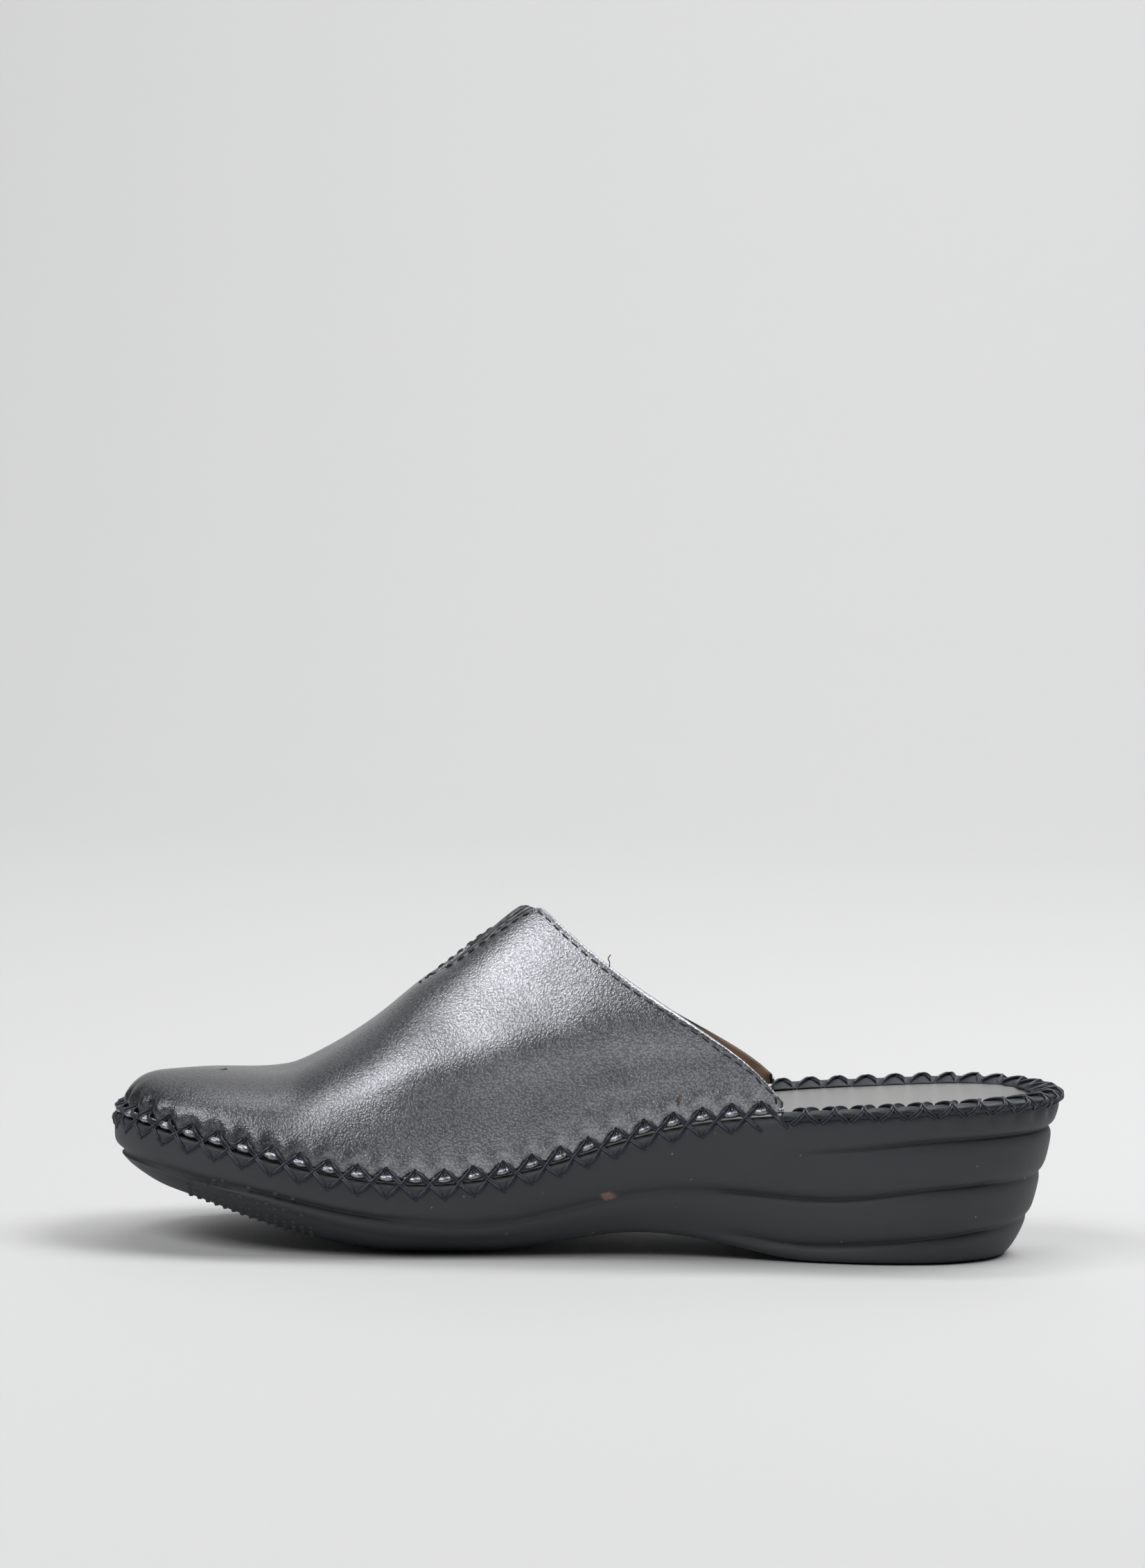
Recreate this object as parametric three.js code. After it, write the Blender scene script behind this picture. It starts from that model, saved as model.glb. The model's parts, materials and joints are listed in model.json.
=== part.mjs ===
// A slip-on house clog for the right foot, size EU 38: a moulded wedge sole, a leather upper with an
// elastic gore on the instep, an insole in the sole's rim, and a rolled edge round the open heel.
// Millimetres, +Z up, toe towards -X, inner side of the foot towards -Y, standing on z = 0.

import * as THREE from "three";

// Driving dimensions.
const SHOE_LENGTH = 261.5; // tip of the toe to the back of the heel
const BALL_WIDTH = 91.5; // widest place of the sole, across the ball
const HEEL_WIDTH = 68.6; // across the heel
const TOE_RIM = 34.5; // height of the sole's rim above the floor at the tip
const BALL_RIM = 20.2; // the same at the ball, where it is lowest
const HEEL_RIM = 45.3; // the same at the back of the heel
const TOE_SPRING = 14.6; // height of the underside behind the tip
const ARCH_RISE = 6.6; // height of the underside at the arch
const RIM_WIDTH = 5; // thickness of the rim lip
const RECESS_DEPTH = 7.5; // from the rim down to the floor of the footbed, at the ball
const FLOOR_DRAFT = 0.6; // how far the rim's inner face leans in on its way down
const FOOTBED_CUP = 1.2; // how much lower the footbed is along its middle
const GROOVE_DEPTH = 1.5; // the lines moulded into the side of the sole
const GROOVE_WIDTH = 2.6;
const INSOLE_THICKNESS = 3;
const TOE_BOX_HEIGHT = 47.5; // top of the toe box above the floor
const INSTEP_HEIGHT = 95.5; // peak of the upper above the floor
const UPPER_WALL = 1.8; // leather and lining together
const UPPER_INSET = 1.5; // from the rim's outer edge to the leather
const TOE_SET_BACK = 1.5; // how much further in it stands at the tip
const TOE_SET_BACK_END = 0.08; // share of the length where that ends
const COLLAR_END_HEIGHT = 1.8; // what is left of the leather where the collar meets the rim
const GORE_WALL = 1.2; // elastic
const GORE_LENGTH = 32; // along the foot, from the tip of the V to the peak
const GORE_INNER_SPREAD = 8.5; // from the ridge to the V's edge at the collar, inner side
const GORE_OUTER_SPREAD = 17; // the same on the outer side
const GORE_UNDERLAP = 5; // how far the elastic reaches under the leather
const ROLL_HEIGHT = 2; // rolled edge above the rim
const ROLL_OVERHANG = 0.3; // rolled edge beyond the rim
const ROLL_COVER = 2.6; // how far it reaches over the insole
const GAP = 0.3; // between pieces that touch
const GORE_GAP = 0.95; // between the curved leather and the elastic under it

// How finely the curved surfaces are divided.
const OUTLINE_STEPS = 76;
const TOE_ROWS = 21;
const GORE_ROWS = 7;
const GORE_COLUMNS = 12;
const PEAK_ROWS = 2;
const COLLAR_ROWS = 13;
const ARCH_STEPS = 15;
const RUNG_STEPS = 8;

// A row's place along the shoe is a share of SHOE_LENGTH, from 0 at the toe to 1 at the heel.
const lengthwise = (along) => (along - 0.5) * SHOE_LENGTH;
const alongOf = (x) => THREE.MathUtils.clamp(x / SHOE_LENGTH + 0.5, 0, 1);
const HEEL_MIDDLE = -0.045 * BALL_WIDTH;
const acrossBall = (share) => share * BALL_WIDTH;
const acrossHeel = (share) => HEEL_MIDDLE + share * HEEL_WIDTH;

// The sole's outline from above, from the tip along the inner side, round the heel and back.
const outlineRows = [
  { along: 0.0, across: acrossBall(-0.118) },
  { along: 0.013, across: acrossBall(-0.262) },
  { along: 0.056, across: acrossBall(-0.399) },
  { along: 0.132, across: acrossBall(-0.481) },
  { along: 0.262, across: acrossBall(-0.5) },
  { along: 0.442, across: acrossBall(-0.432) },
  { along: 0.633, across: acrossHeel(-0.47) },
  { along: 0.805, across: acrossHeel(-0.5) },
  { along: 0.908, across: acrossHeel(-0.455) },
  { along: 0.974, across: acrossHeel(-0.287) },
  { along: 1.0, across: acrossHeel(-0.01) },
  { along: 0.974, across: acrossHeel(0.277) },
  { along: 0.908, across: acrossHeel(0.448) },
  { along: 0.786, across: acrossHeel(0.5) },
  { along: 0.633, across: acrossHeel(0.531) },
  { along: 0.442, across: acrossBall(0.451) },
  { along: 0.262, across: acrossBall(0.5) },
  { along: 0.147, across: acrossBall(0.438) },
  { along: 0.067, across: acrossBall(0.292) },
  { along: 0.015, across: acrossBall(0.068) },
];

// The rim's height, and the underside's.
const rimRows = [
  { along: 0.0, height: TOE_RIM },
  { along: 0.04, height: 0.968 * TOE_RIM },
  { along: 0.086, height: 0.898 * TOE_RIM },
  { along: 0.147, height: 0.8 * TOE_RIM },
  { along: 0.209, height: 1.188 * BALL_RIM },
  { along: 0.266, height: 1.06 * BALL_RIM },
  { along: 0.338, height: BALL_RIM },
  { along: 0.407, height: 1.104 * BALL_RIM },
  { along: 0.465, height: 0.578 * HEEL_RIM },
  { along: 0.518, height: 0.684 * HEEL_RIM },
  { along: 0.568, height: 0.777 * HEEL_RIM },
  { along: 0.625, height: 0.848 * HEEL_RIM },
  { along: 0.69, height: 0.894 * HEEL_RIM },
  { along: 0.805, height: 0.945 * HEEL_RIM },
  { along: 0.943, height: 0.993 * HEEL_RIM },
  { along: 1.0, height: HEEL_RIM },
];
const undersideRows = [
  { along: 0.0, height: 1.4 * TOE_SPRING },
  { along: 0.055, height: 1.04 * TOE_SPRING },
  { along: 0.09, height: 0.916 * TOE_SPRING },
  { along: 0.132, height: 0.69 * TOE_SPRING },
  { along: 0.174, height: 0.452 * TOE_SPRING },
  { along: 0.216, height: 0.253 * TOE_SPRING },
  { along: 0.258, height: 0.089 * TOE_SPRING },
  { along: 0.3, height: 0 },
  { along: 0.4, height: 0 },
  { along: 0.422, height: 0.12 * ARCH_RISE },
  { along: 0.465, height: 0.44 * ARCH_RISE },
  { along: 0.507, height: 0.77 * ARCH_RISE },
  { along: 0.556, height: ARCH_RISE },
  { along: 0.61, height: 0.86 * ARCH_RISE },
  { along: 0.652, height: 0.545 * ARCH_RISE },
  { along: 0.694, height: 0.18 * ARCH_RISE },
  { along: 0.728, height: 0 },
  { along: 1.0, height: 0 },
];

// The footbed's depth below the rim.
const recessRows = [
  { along: 0.0, depth: 0.95 * RECESS_DEPTH },
  { along: 0.33, depth: RECESS_DEPTH },
  { along: 0.55, depth: 0.74 * RECESS_DEPTH },
  { along: 0.75, depth: 0.5 * RECESS_DEPTH },
  { along: 1.0, depth: 0.46 * RECESS_DEPTH },
];

// The side wall in five places: how far it lies inside the rim's outline, as shares of the drawn-in
// width DRAW_IN, at shares of the wall's height from 1 at the rim to 0 at the underside.
const DRAW_IN = 14.5; // the wall's whole slope and rounding at the back of the heel
const wallPlaces = [0, 0.33, 0.55, 0.8, 1];
const wallRows = [
  { up: 1.0, toe: 0, ball: 0, waist: 0, heel: 0, back: 0 },
  { up: 0.85, toe: -0.015, ball: -0.035, waist: -0.02, heel: 0.014, back: 0.02 },
  { up: 0.7, toe: -0.015, ball: -0.05, waist: 0, heel: 0.04, back: 0.124 },
  { up: 0.55, toe: 0.02, ball: -0.03, waist: 0.055, heel: 0.076, back: 0.228 },
  { up: 0.4, toe: 0.15, ball: 0.055, waist: 0.124, heel: 0.117, back: 0.36 },
  { up: 0.25, toe: 0.345, ball: 0.207, waist: 0.22, heel: 0.166, back: 0.483 },
  { up: 0.12, toe: 0.524, ball: 0.448, waist: 0.345, heel: 0.22, back: 0.62 },
  { up: 0.04, toe: 0.76, ball: 0.7, waist: 0.44, heel: 0.23, back: 0.814 },
  { up: 0.0, toe: 1.0, ball: 1.0, waist: 0.6, heel: 0.31, back: 1.0 },
];

// The three moulded lines: their place as a share of the wall's height, and how much of
// GROOVE_DEPTH they have there.
const grooveRows = [
  { along: 0.0, high: 0.8, middle: 0.5, low: 0.34, highCut: 0, middleCut: 0.8, lowCut: 0 },
  { along: 0.07, high: 0.8, middle: 0.48, low: 0.335, highCut: 0, middleCut: 1, lowCut: 0.6 },
  { along: 0.2, high: 0.8, middle: 0.54, low: 0.33, highCut: 0, middleCut: 1, lowCut: 1 },
  { along: 0.32, high: 0.79, middle: 0.52, low: 0.25, highCut: 0, middleCut: 1, lowCut: 1 },
  { along: 0.38, high: 0.78, middle: 0.44, low: 0.22, highCut: 0, middleCut: 1, lowCut: 0.6 },
  { along: 0.46, high: 0.77, middle: 0.43, low: 0.18, highCut: 0, middleCut: 1, lowCut: 0 },
  { along: 0.57, high: 0.75, middle: 0.43, low: 0.14, highCut: 0, middleCut: 1, lowCut: 0 },
  { along: 0.69, high: 0.73, middle: 0.435, low: 0.11, highCut: 0, middleCut: 1, lowCut: 0.3 },
  { along: 0.76, high: 0.74, middle: 0.42, low: 0.12, highCut: 0.4, middleCut: 1, lowCut: 0.8 },
  { along: 0.86, high: 0.785, middle: 0.48, low: 0.165, highCut: 1, middleCut: 1, lowCut: 1 },
  { along: 1.0, high: 0.8, middle: 0.52, low: 0.25, highCut: 1, middleCut: 1, lowCut: 1 },
];

// The ridge of the upper, its highest line. Behind the peak it goes on as the foot's instep would,
// which gives the walls beside the opening their slope. Fullness 2 is an elliptical section,
// more is squarer.
const ridgeRows = [
  { along: 0.0, height: 0.98 * TOE_BOX_HEIGHT, across: acrossBall(-0.1), fullness: 2.65 },
  { along: 0.11, height: 0.978 * TOE_BOX_HEIGHT, across: acrossBall(-0.1), fullness: 2.45 },
  { along: 0.162, height: 0.968 * TOE_BOX_HEIGHT, across: acrossBall(-0.095), fullness: 2.25 },
  { along: 0.193, height: 0.991 * TOE_BOX_HEIGHT, across: acrossBall(-0.09), fullness: 2.2 },
  { along: 0.231, height: 0.549 * INSTEP_HEIGHT, across: acrossBall(-0.085), fullness: 2.2 },
  { along: 0.27, height: 0.629 * INSTEP_HEIGHT, across: acrossBall(-0.08), fullness: 2.05 },
  { along: 0.315, height: 0.744 * INSTEP_HEIGHT, across: acrossBall(-0.07), fullness: 1.95 },
  { along: 0.358, height: 0.843 * INSTEP_HEIGHT, across: acrossBall(-0.06), fullness: 1.85 },
  { along: 0.4, height: 0.95 * INSTEP_HEIGHT, across: acrossBall(-0.053), fullness: 1.8 },
  { along: 0.43, height: 1.012 * INSTEP_HEIGHT, across: acrossBall(-0.05), fullness: 1.78 },
  { along: 0.5, height: 1.11 * INSTEP_HEIGHT, across: acrossBall(-0.047), fullness: 1.75 },
  { along: 0.58, height: 1.2 * INSTEP_HEIGHT, across: acrossBall(-0.045), fullness: 1.75 },
  { along: 0.72, height: 1.3 * INSTEP_HEIGHT, across: acrossBall(-0.045), fullness: 1.75 },
];
const GORE_TIP = 0.319; // place of the V's tip
const COLLAR_END = 0.702; // place where the collar meets the rim
const TOE_CAP_END = 0.17; // in front of this the sections fan out round the toe
const TOE_CAP_FAN = 0.65;

// The collar's height, on the inner and the outer side of the foot.
const collarRows = [
  { along: 0.434, inner: 0.997 * INSTEP_HEIGHT, outer: 0.99 * INSTEP_HEIGHT },
  { along: 0.484, inner: 0.885 * INSTEP_HEIGHT, outer: 0.862 * INSTEP_HEIGHT },
  { along: 0.541, inner: 0.771 * INSTEP_HEIGHT, outer: 0.734 * INSTEP_HEIGHT },
  { along: 0.583, inner: 0.698 * INSTEP_HEIGHT, outer: 0.66 * INSTEP_HEIGHT },
  { along: 0.633, inner: 0.61 * INSTEP_HEIGHT, outer: 0.588 * INSTEP_HEIGHT },
  { along: 0.675, inner: 0.528 * INSTEP_HEIGHT, outer: 0.52 * INSTEP_HEIGHT },
  { along: 0.702, inner: 0.46 * INSTEP_HEIGHT, outer: 0.46 * INSTEP_HEIGHT },
];

// A smooth curve through one column of a table, which never swings past its rows.
function curveThrough(rows, column) {
  const at = rows.map((row) => row.along);
  const value = rows.map((row) => row[column]);
  const slope = at.map((_, i) => {
    if (i === 0 || i === at.length - 1) return 0;
    const before = (value[i] - value[i - 1]) / (at[i] - at[i - 1]);
    const after = (value[i + 1] - value[i]) / (at[i + 1] - at[i]);
    return before * after <= 0 ? 0 : (2 * before * after) / (before + after);
  });
  const last = at.length - 1;
  slope[0] = (value[1] - value[0]) / (at[1] - at[0]);
  slope[last] = (value[last] - value[last - 1]) / (at[last] - at[last - 1]);
  return (along) => {
    const place = THREE.MathUtils.clamp(along, at[0], at[last]);
    let i = 0;
    while (i < last - 1 && place > at[i + 1]) i++;
    const span = at[i + 1] - at[i];
    const t = (place - at[i]) / span;
    const rise = t * t * (3 - 2 * t);
    const leave = t * (1 - t) * (1 - t) * span * slope[i];
    const arrive = t * t * (t - 1) * span * slope[i + 1];
    return value[i] * (1 - rise) + value[i + 1] * rise + leave + arrive;
  };
}

// Where a falling or rising function crosses zero between two places.
function crossing(f, low, high) {
  const lowSign = Math.sign(f(low));
  let a = low;
  let b = high;
  for (let i = 0; i < 40; i++) {
    const middle = (a + b) / 2;
    if (Math.sign(f(middle)) === lowSign) a = middle;
    else b = middle;
  }
  return (a + b) / 2;
}

const rimHeight = curveThrough(rimRows, "height");
const undersideHeight = curveThrough(undersideRows, "height");
const recessDepth = curveThrough(recessRows, "depth");
const floorHeight = (along) => rimHeight(along) - recessDepth(along);

const outline = new THREE.CatmullRomCurve3(
  outlineRows.map((row) => new THREE.Vector3(lengthwise(row.along), row.across, 0)),
  true,
  "centripetal",
);
outline.arcLengthDivisions = 800;

// A place on the outline: its point, its outward direction and its share of the length.
function station(turn) {
  const point = outline.getPointAt(turn);
  const tangent = outline.getTangentAt(turn);
  const outward = new THREE.Vector3(tangent.y, -tangent.x, 0).normalize();
  return { point, outward, along: alongOf(point.x) };
}
const inside = (place, inset) => place.point.clone().addScaledVector(place.outward, -inset);

// A closed surface: its points, and triangles that are turned to face out when it is finished.
class Surface {
  constructor() {
    this.points = [];
    this.faces = [];
  }
  add(point, z = point.z) {
    return this.points.push(new THREE.Vector3(point.x, point.y, z)) - 1;
  }
  triangle(a, b, c) {
    if (a !== b && b !== c && c !== a) this.faces.push([a, b, c]);
  }
  // Two rows of points joined by squares, along an open row or round a closed one. Turned over,
  // the squares face the other way and are split along the same corners.
  join(row, next, closed = false, turned = false) {
    const steps = closed ? row.length : row.length - 1;
    for (let i = 0; i < steps; i++) {
      const j = (i + 1) % row.length;
      if (turned) {
        this.triangle(row[i], next[j], row[j]);
        this.triangle(row[i], next[i], next[j]);
      } else {
        this.triangle(row[i], row[j], next[j]);
        this.triangle(row[i], next[j], next[i]);
      }
    }
  }
  // A closed loop filled with rungs from its inner side to its outer side. The loop starts at the
  // tip, rungs have the given steps, and heightAt gives a rung's height at a point and a share of
  // the way across.
  fill(loop, steps, heightAt, turned = false) {
    const half = loop.length / 2;
    const rungs = [];
    for (let i = 0; i <= half; i++) {
      const from = loop[i];
      const to = loop[(loop.length - i) % loop.length];
      const rung = [from];
      for (let k = 1; k < steps; k++) {
        const point = this.points[from].clone().lerp(this.points[to], k / steps);
        rung.push(from === to ? from : this.add(point, heightAt(point, k / steps)));
      }
      rungs.push([...rung, to]);
    }
    for (let i = 1; i < rungs.length; i++) this.join(rungs[i], rungs[i - 1], false, turned);
  }
  volume() {
    const sum = this.faces.reduce((total, [a, b, c]) => {
      const [p, q, r] = [this.points[a], this.points[b], this.points[c]];
      return total + p.dot(new THREE.Vector3().crossVectors(q, r));
    }, 0);
    return sum / 6;
  }
  mesh(name, material) {
    const faces = this.volume() < 0 ? this.faces.map(([a, b, c]) => [a, c, b]) : this.faces;
    const geometry = new THREE.BufferGeometry().setFromPoints(this.points);
    geometry.setIndex(faces.flat());
    geometry.computeVertexNormals();
    const mesh = new THREE.Mesh(geometry, material);
    mesh.name = name;
    return mesh;
  }
}

const finish = (color, roughness, metalness) =>
  new THREE.MeshStandardMaterial({ color, roughness, metalness });
const soleFoam = finish(0x3a3b3e, 0.75, 0);
const pewterLeather = finish(0x7c7e84, 0.42, 0.65);
const elastic = finish(0x3b3c40, 0.9, 0);
const sockLeather = finish(0x48494b, 0.6, 0);
const edgeLeather = finish(0x26282d, 0.5, 0);

// The wall's inset at one place and height, in the tables' order of places.
const placeNames = ["toe", "ball", "waist", "heel", "back"];
const wallColumns = wallRows.map((row) =>
  curveThrough(
    wallPlaces.map((along, i) => ({ along, inset: row[placeNames[i]] })),
    "inset",
  ),
);
function wallInset(along, up) {
  const rows = wallRows
    .map((row, i) => ({ along: row.up, inset: DRAW_IN * wallColumns[i](along) }))
    .reverse();
  return curveThrough(rows, "inset")(up);
}

const grooveCurve = (column) => curveThrough(grooveRows, column);
const grooves = ["high", "middle", "low"].map((name) => ({
  place: grooveCurve(name),
  cut: grooveCurve(name + "Cut"),
}));

// The side wall's rings from the rim down: each is a share of the wall's height and a cut into it.
function wallLevels(along, wallHeight) {
  const half = GROOVE_WIDTH / 2 / wallHeight;
  const levels = [{ up: 1, cut: 0 }];
  for (const groove of grooves) {
    const place = groove.place(along);
    const above = (levels[levels.length - 1].up + place + half) / 2;
    levels.push({ up: above, cut: 0 });
    levels.push({ up: place + half, cut: 0 });
    levels.push({ up: place, cut: GROOVE_DEPTH * groove.cut(along) });
    levels.push({ up: place - half, cut: 0.25 * GROOVE_DEPTH * groove.cut(along) });
  }
  levels.push({ up: 0.04, cut: 0 }, { up: 0, cut: 0 });
  return levels;
}

const turns = Array.from({ length: OUTLINE_STEPS }, (_, i) => i / OUTLINE_STEPS);
const outlineStations = turns.map(station);
const FLOOR_INSET = RIM_WIDTH + FLOOR_DRAFT;

// The footbed's floor, a little lower along its middle.
const footbedHeight = (point, across) =>
  floorHeight(alongOf(point.x)) - FOOTBED_CUP * (1 - (2 * across - 1) ** 2);

function makeSole() {
  const sole = new Surface();
  const columns = outlineStations.map((place) => {
    const edge = inside(place, FLOOR_INSET);
    const column = [
      sole.add(edge, footbedHeight(edge, 0)),
      sole.add(inside(place, RIM_WIDTH), rimHeight(place.along)),
    ];
    const foot = inside(place, wallInset(place.along, 0));
    const bottom = undersideHeight(alongOf(foot.x));
    const wallHeight = rimHeight(place.along) - bottom;
    for (const { up, cut } of wallLevels(place.along, wallHeight)) {
      const point = inside(place, wallInset(place.along, up) + cut);
      column.push(sole.add(point, bottom + up * wallHeight));
    }
    return column;
  });
  const rings = columns[0].map((_, level) => columns.map((column) => column[level]));
  sole.fill(rings[0], RUNG_STEPS, footbedHeight);
  for (let i = 1; i < rings.length; i++) sole.join(rings[i], rings[i - 1], true);
  const underside = (point) => undersideHeight(alongOf(point.x));
  sole.fill(rings[rings.length - 1], RUNG_STEPS, underside, true);
  return sole.mesh("sole", soleFoam);
}

function makeInsole() {
  const insole = new Surface();
  const layer = (lift) =>
    outlineStations.map((place) => {
      const edge = inside(place, FLOOR_INSET + GAP);
      return insole.add(edge, footbedHeight(edge, 0) + lift);
    });
  const topLift = GAP + INSOLE_THICKNESS;
  const top = layer(topLift);
  const bottom = layer(GAP);
  const lifted = (lift) => (point, across) => footbedHeight(point, across) + lift;
  insole.fill(top, RUNG_STEPS, lifted(topLift));
  insole.join(bottom, top, true);
  insole.fill(bottom, RUNG_STEPS, lifted(GAP), true);
  return insole.mesh("insole", sockLeather);
}

// Where the upper stands on the rim. A row's share runs from 0 at the tip to 1 at the collar's end,
// and both sides count it along their own stretch of the outline.
const innerEnd = crossing((turn) => station(turn).along - COLLAR_END, 0.05, 0.5);
const outerEnd = crossing((turn) => station(turn).along - COLLAR_END, 0.95, 0.5);
const footAt = (place) => {
  const toeward = 1 - THREE.MathUtils.smoothstep(place.along, 0, TOE_SET_BACK_END);
  return inside(place, UPPER_INSET + TOE_SET_BACK * toeward);
};
const footOf = {
  inner: (share) => footAt(station(innerEnd * share)),
  outer: (share) => footAt(station(1 - (1 - outerEnd) * share)),
};
const ridgeHeight = curveThrough(ridgeRows, "height");
const ridgeAcross = curveThrough(ridgeRows, "across");
const ridgeFullness = curveThrough(ridgeRows, "fullness");
const collarHeight = {
  inner: curveThrough(collarRows, "inner"),
  outer: curveThrough(collarRows, "outer"),
};
const upperSides = ["inner", "outer"];
const goreSpread = { inner: GORE_INNER_SPREAD, outer: GORE_OUTER_SPREAD };

// The point of the ridge that a row's two sides climb to.
const TOE_CAP_BLEND = 12;
function ridgePoint(share) {
  const middle = (footOf.inner(share).x + footOf.outer(share).x) / 2;
  const ahead = (lengthwise(TOE_CAP_END) - middle) / TOE_CAP_BLEND;
  const x = middle + TOE_CAP_FAN * TOE_CAP_BLEND * Math.log(1 + Math.exp(ahead));
  const along = alongOf(x);
  return new THREE.Vector3(x, ridgeAcross(along), ridgeHeight(along));
}

// A point of the leather's outer face: climb is 0 at the rim and 1 on the ridge.
function leather(side, share, climb) {
  const foot = footOf[side](share);
  const ridge = ridgePoint(share);
  const start = rimHeight(alongOf(foot.x)) + GAP;
  const fullness = ridgeFullness(alongOf(foot.x));
  const angle = THREE.MathUtils.clamp(climb, 0, 1) * (Math.PI / 2);
  const out = Math.max(Math.cos(angle), 0) ** (2 / fullness);
  const up = Math.sin(angle) ** (2 / fullness);
  const point = ridge.clone().lerp(foot, out);
  point.z = start + (ridge.z - start) * up;
  return point;
}

// The leather's outward direction, from small steps along and up the surface.
function leatherNormal(side, share, climb) {
  const step = 1e-3;
  const back = leather(side, Math.max(share - step, 0), climb);
  const front = leather(side, Math.min(share + step, 1), climb);
  const below = leather(side, share, Math.max(climb - step, 0));
  const above = leather(side, share, Math.min(climb + step, 1));
  const normal = new THREE.Vector3().crossVectors(front.sub(back), above.sub(below)).normalize();
  return side === "inner" ? normal : normal.negate();
}

// How wide the V is at a place along the foot, from the ridge to one of its edges.
const goreTipX = lengthwise(GORE_TIP);
const spreadAt = (side, x) =>
  goreSpread[side] * Math.max(0, (x - goreTipX) / GORE_LENGTH);

// How far up a row a place lies that is this far from the ridge.
function climbToSpread(side, share, spread) {
  const reach = footOf[side](share).distanceTo(ridgePoint(share).setZ(0));
  const fullness = ridgeFullness(alongOf(footOf[side](share).x));
  return Math.acos(Math.min(1, spread / reach) ** (fullness / 2)) / (Math.PI / 2);
}
function overCollar(side, share, climb) {
  const point = leather(side, share, climb);
  const top = collarHeight[side](alongOf(point.x));
  const lowest = rimHeight(alongOf(point.x)) + GAP + COLLAR_END_HEIGHT;
  return point.z - Math.max(top, lowest);
}

// The collar's corners and the elastic's end are looked for up to this many gore lengths from the
// V's tip.
const PEAK_REACH = 1.8;

// The share of the row whose ridge point lies at x.
const rowAt = (x) => crossing((share) => ridgePoint(share).x - x, 0, 1);
const tipShare = rowAt(goreTipX);
const cornerShare = (side) =>
  crossing(
    (share) =>
      overCollar(side, share, climbToSpread(side, share, spreadAt(side, ridgePoint(share).x))),
    tipShare,
    rowAt(goreTipX + PEAK_REACH * GORE_LENGTH),
  );
const corners = { inner: cornerShare("inner"), outer: cornerShare("outer") };

// How far up a row the leather goes: to the ridge or the V's edge ahead of the collar's corner, and
// to the collar behind it.
function climbToEdge(side, share) {
  if (share <= corners[side])
    return climbToSpread(side, share, spreadAt(side, ridgePoint(share).x));
  return crossing((climb) => overCollar(side, share, climb), 0, 1);
}
const stretch = (from, to, steps) =>
  Array.from({ length: steps }, (_, i) => from + ((to - from) * i) / steps);
const rowShares = [
  ...stretch(0, tipShare, TOE_ROWS),
  ...stretch(tipShare, corners.inner, GORE_ROWS),
  ...stretch(corners.inner, corners.outer, PEAK_ROWS),
  ...stretch(corners.outer, 1, COLLAR_ROWS),
  1,
];

// Steps up a row, closer together near the rim.
const RIM_CROWDING = 1.15;
const climbSteps = Array.from(
  { length: ARCH_STEPS + 1 },
  (_, i) => (i / ARCH_STEPS) ** RIM_CROWDING,
);

// Whether a row and step lie where the two sides meet: the tip's row, and the ridge ahead of the V.
const meets = (row, step) => row === 0 || (step === ARCH_STEPS && row <= TOE_ROWS);

function makeUpper() {
  const upper = new Surface();
  // One face of the wall, a depth inside the leather's outer face, as point numbers by side and row.
  const layer = (depth) => {
    const numbers = { inner: [], outer: [] };
    for (const side of upperSides)
      rowShares.forEach((share, row) => {
        const top = climbToEdge(side, share);
        numbers[side][row] = climbSteps.map((climbStep, step) => {
          if (side === "outer" && meets(row, step)) return numbers.inner[row][step];
          const climb = climbStep * top;
          const point = leather(side, share, climb);
          const standing = point.z;
          const normal = leatherNormal(side, share, climb);
          if (meets(row, step)) {
            const across = leatherNormal("outer", share, climb);
            normal.add(across).normalize();
          }
          point.addScaledVector(normal, -depth);
          return upper.add(point, step === 0 ? standing : point.z);
        });
      });
    return numbers;
  };
  const outerFace = layer(0);
  const innerFace = layer(UPPER_WALL);
  for (const side of upperSides) {
    const [first, second] = side === "inner" ? [outerFace, innerFace] : [innerFace, outerFace];
    for (let row = 1; row < rowShares.length; row++) {
      upper.join(first[side][row - 1], first[side][row]);
      upper.join(second[side][row], second[side][row - 1]);
    }
    const edge = (face, step) => face[side].map((row) => row[step]);
    const cut = (face) => edge(face, ARCH_STEPS).slice(TOE_ROWS);
    const end = (face) => face[side][rowShares.length - 1];
    upper.join(edge(first, 0), edge(second, 0));
    upper.join(cut(second), cut(first));
    upper.join(end(first), end(second));
  }
  return upper.mesh("upper", pewterLeather);
}

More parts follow.
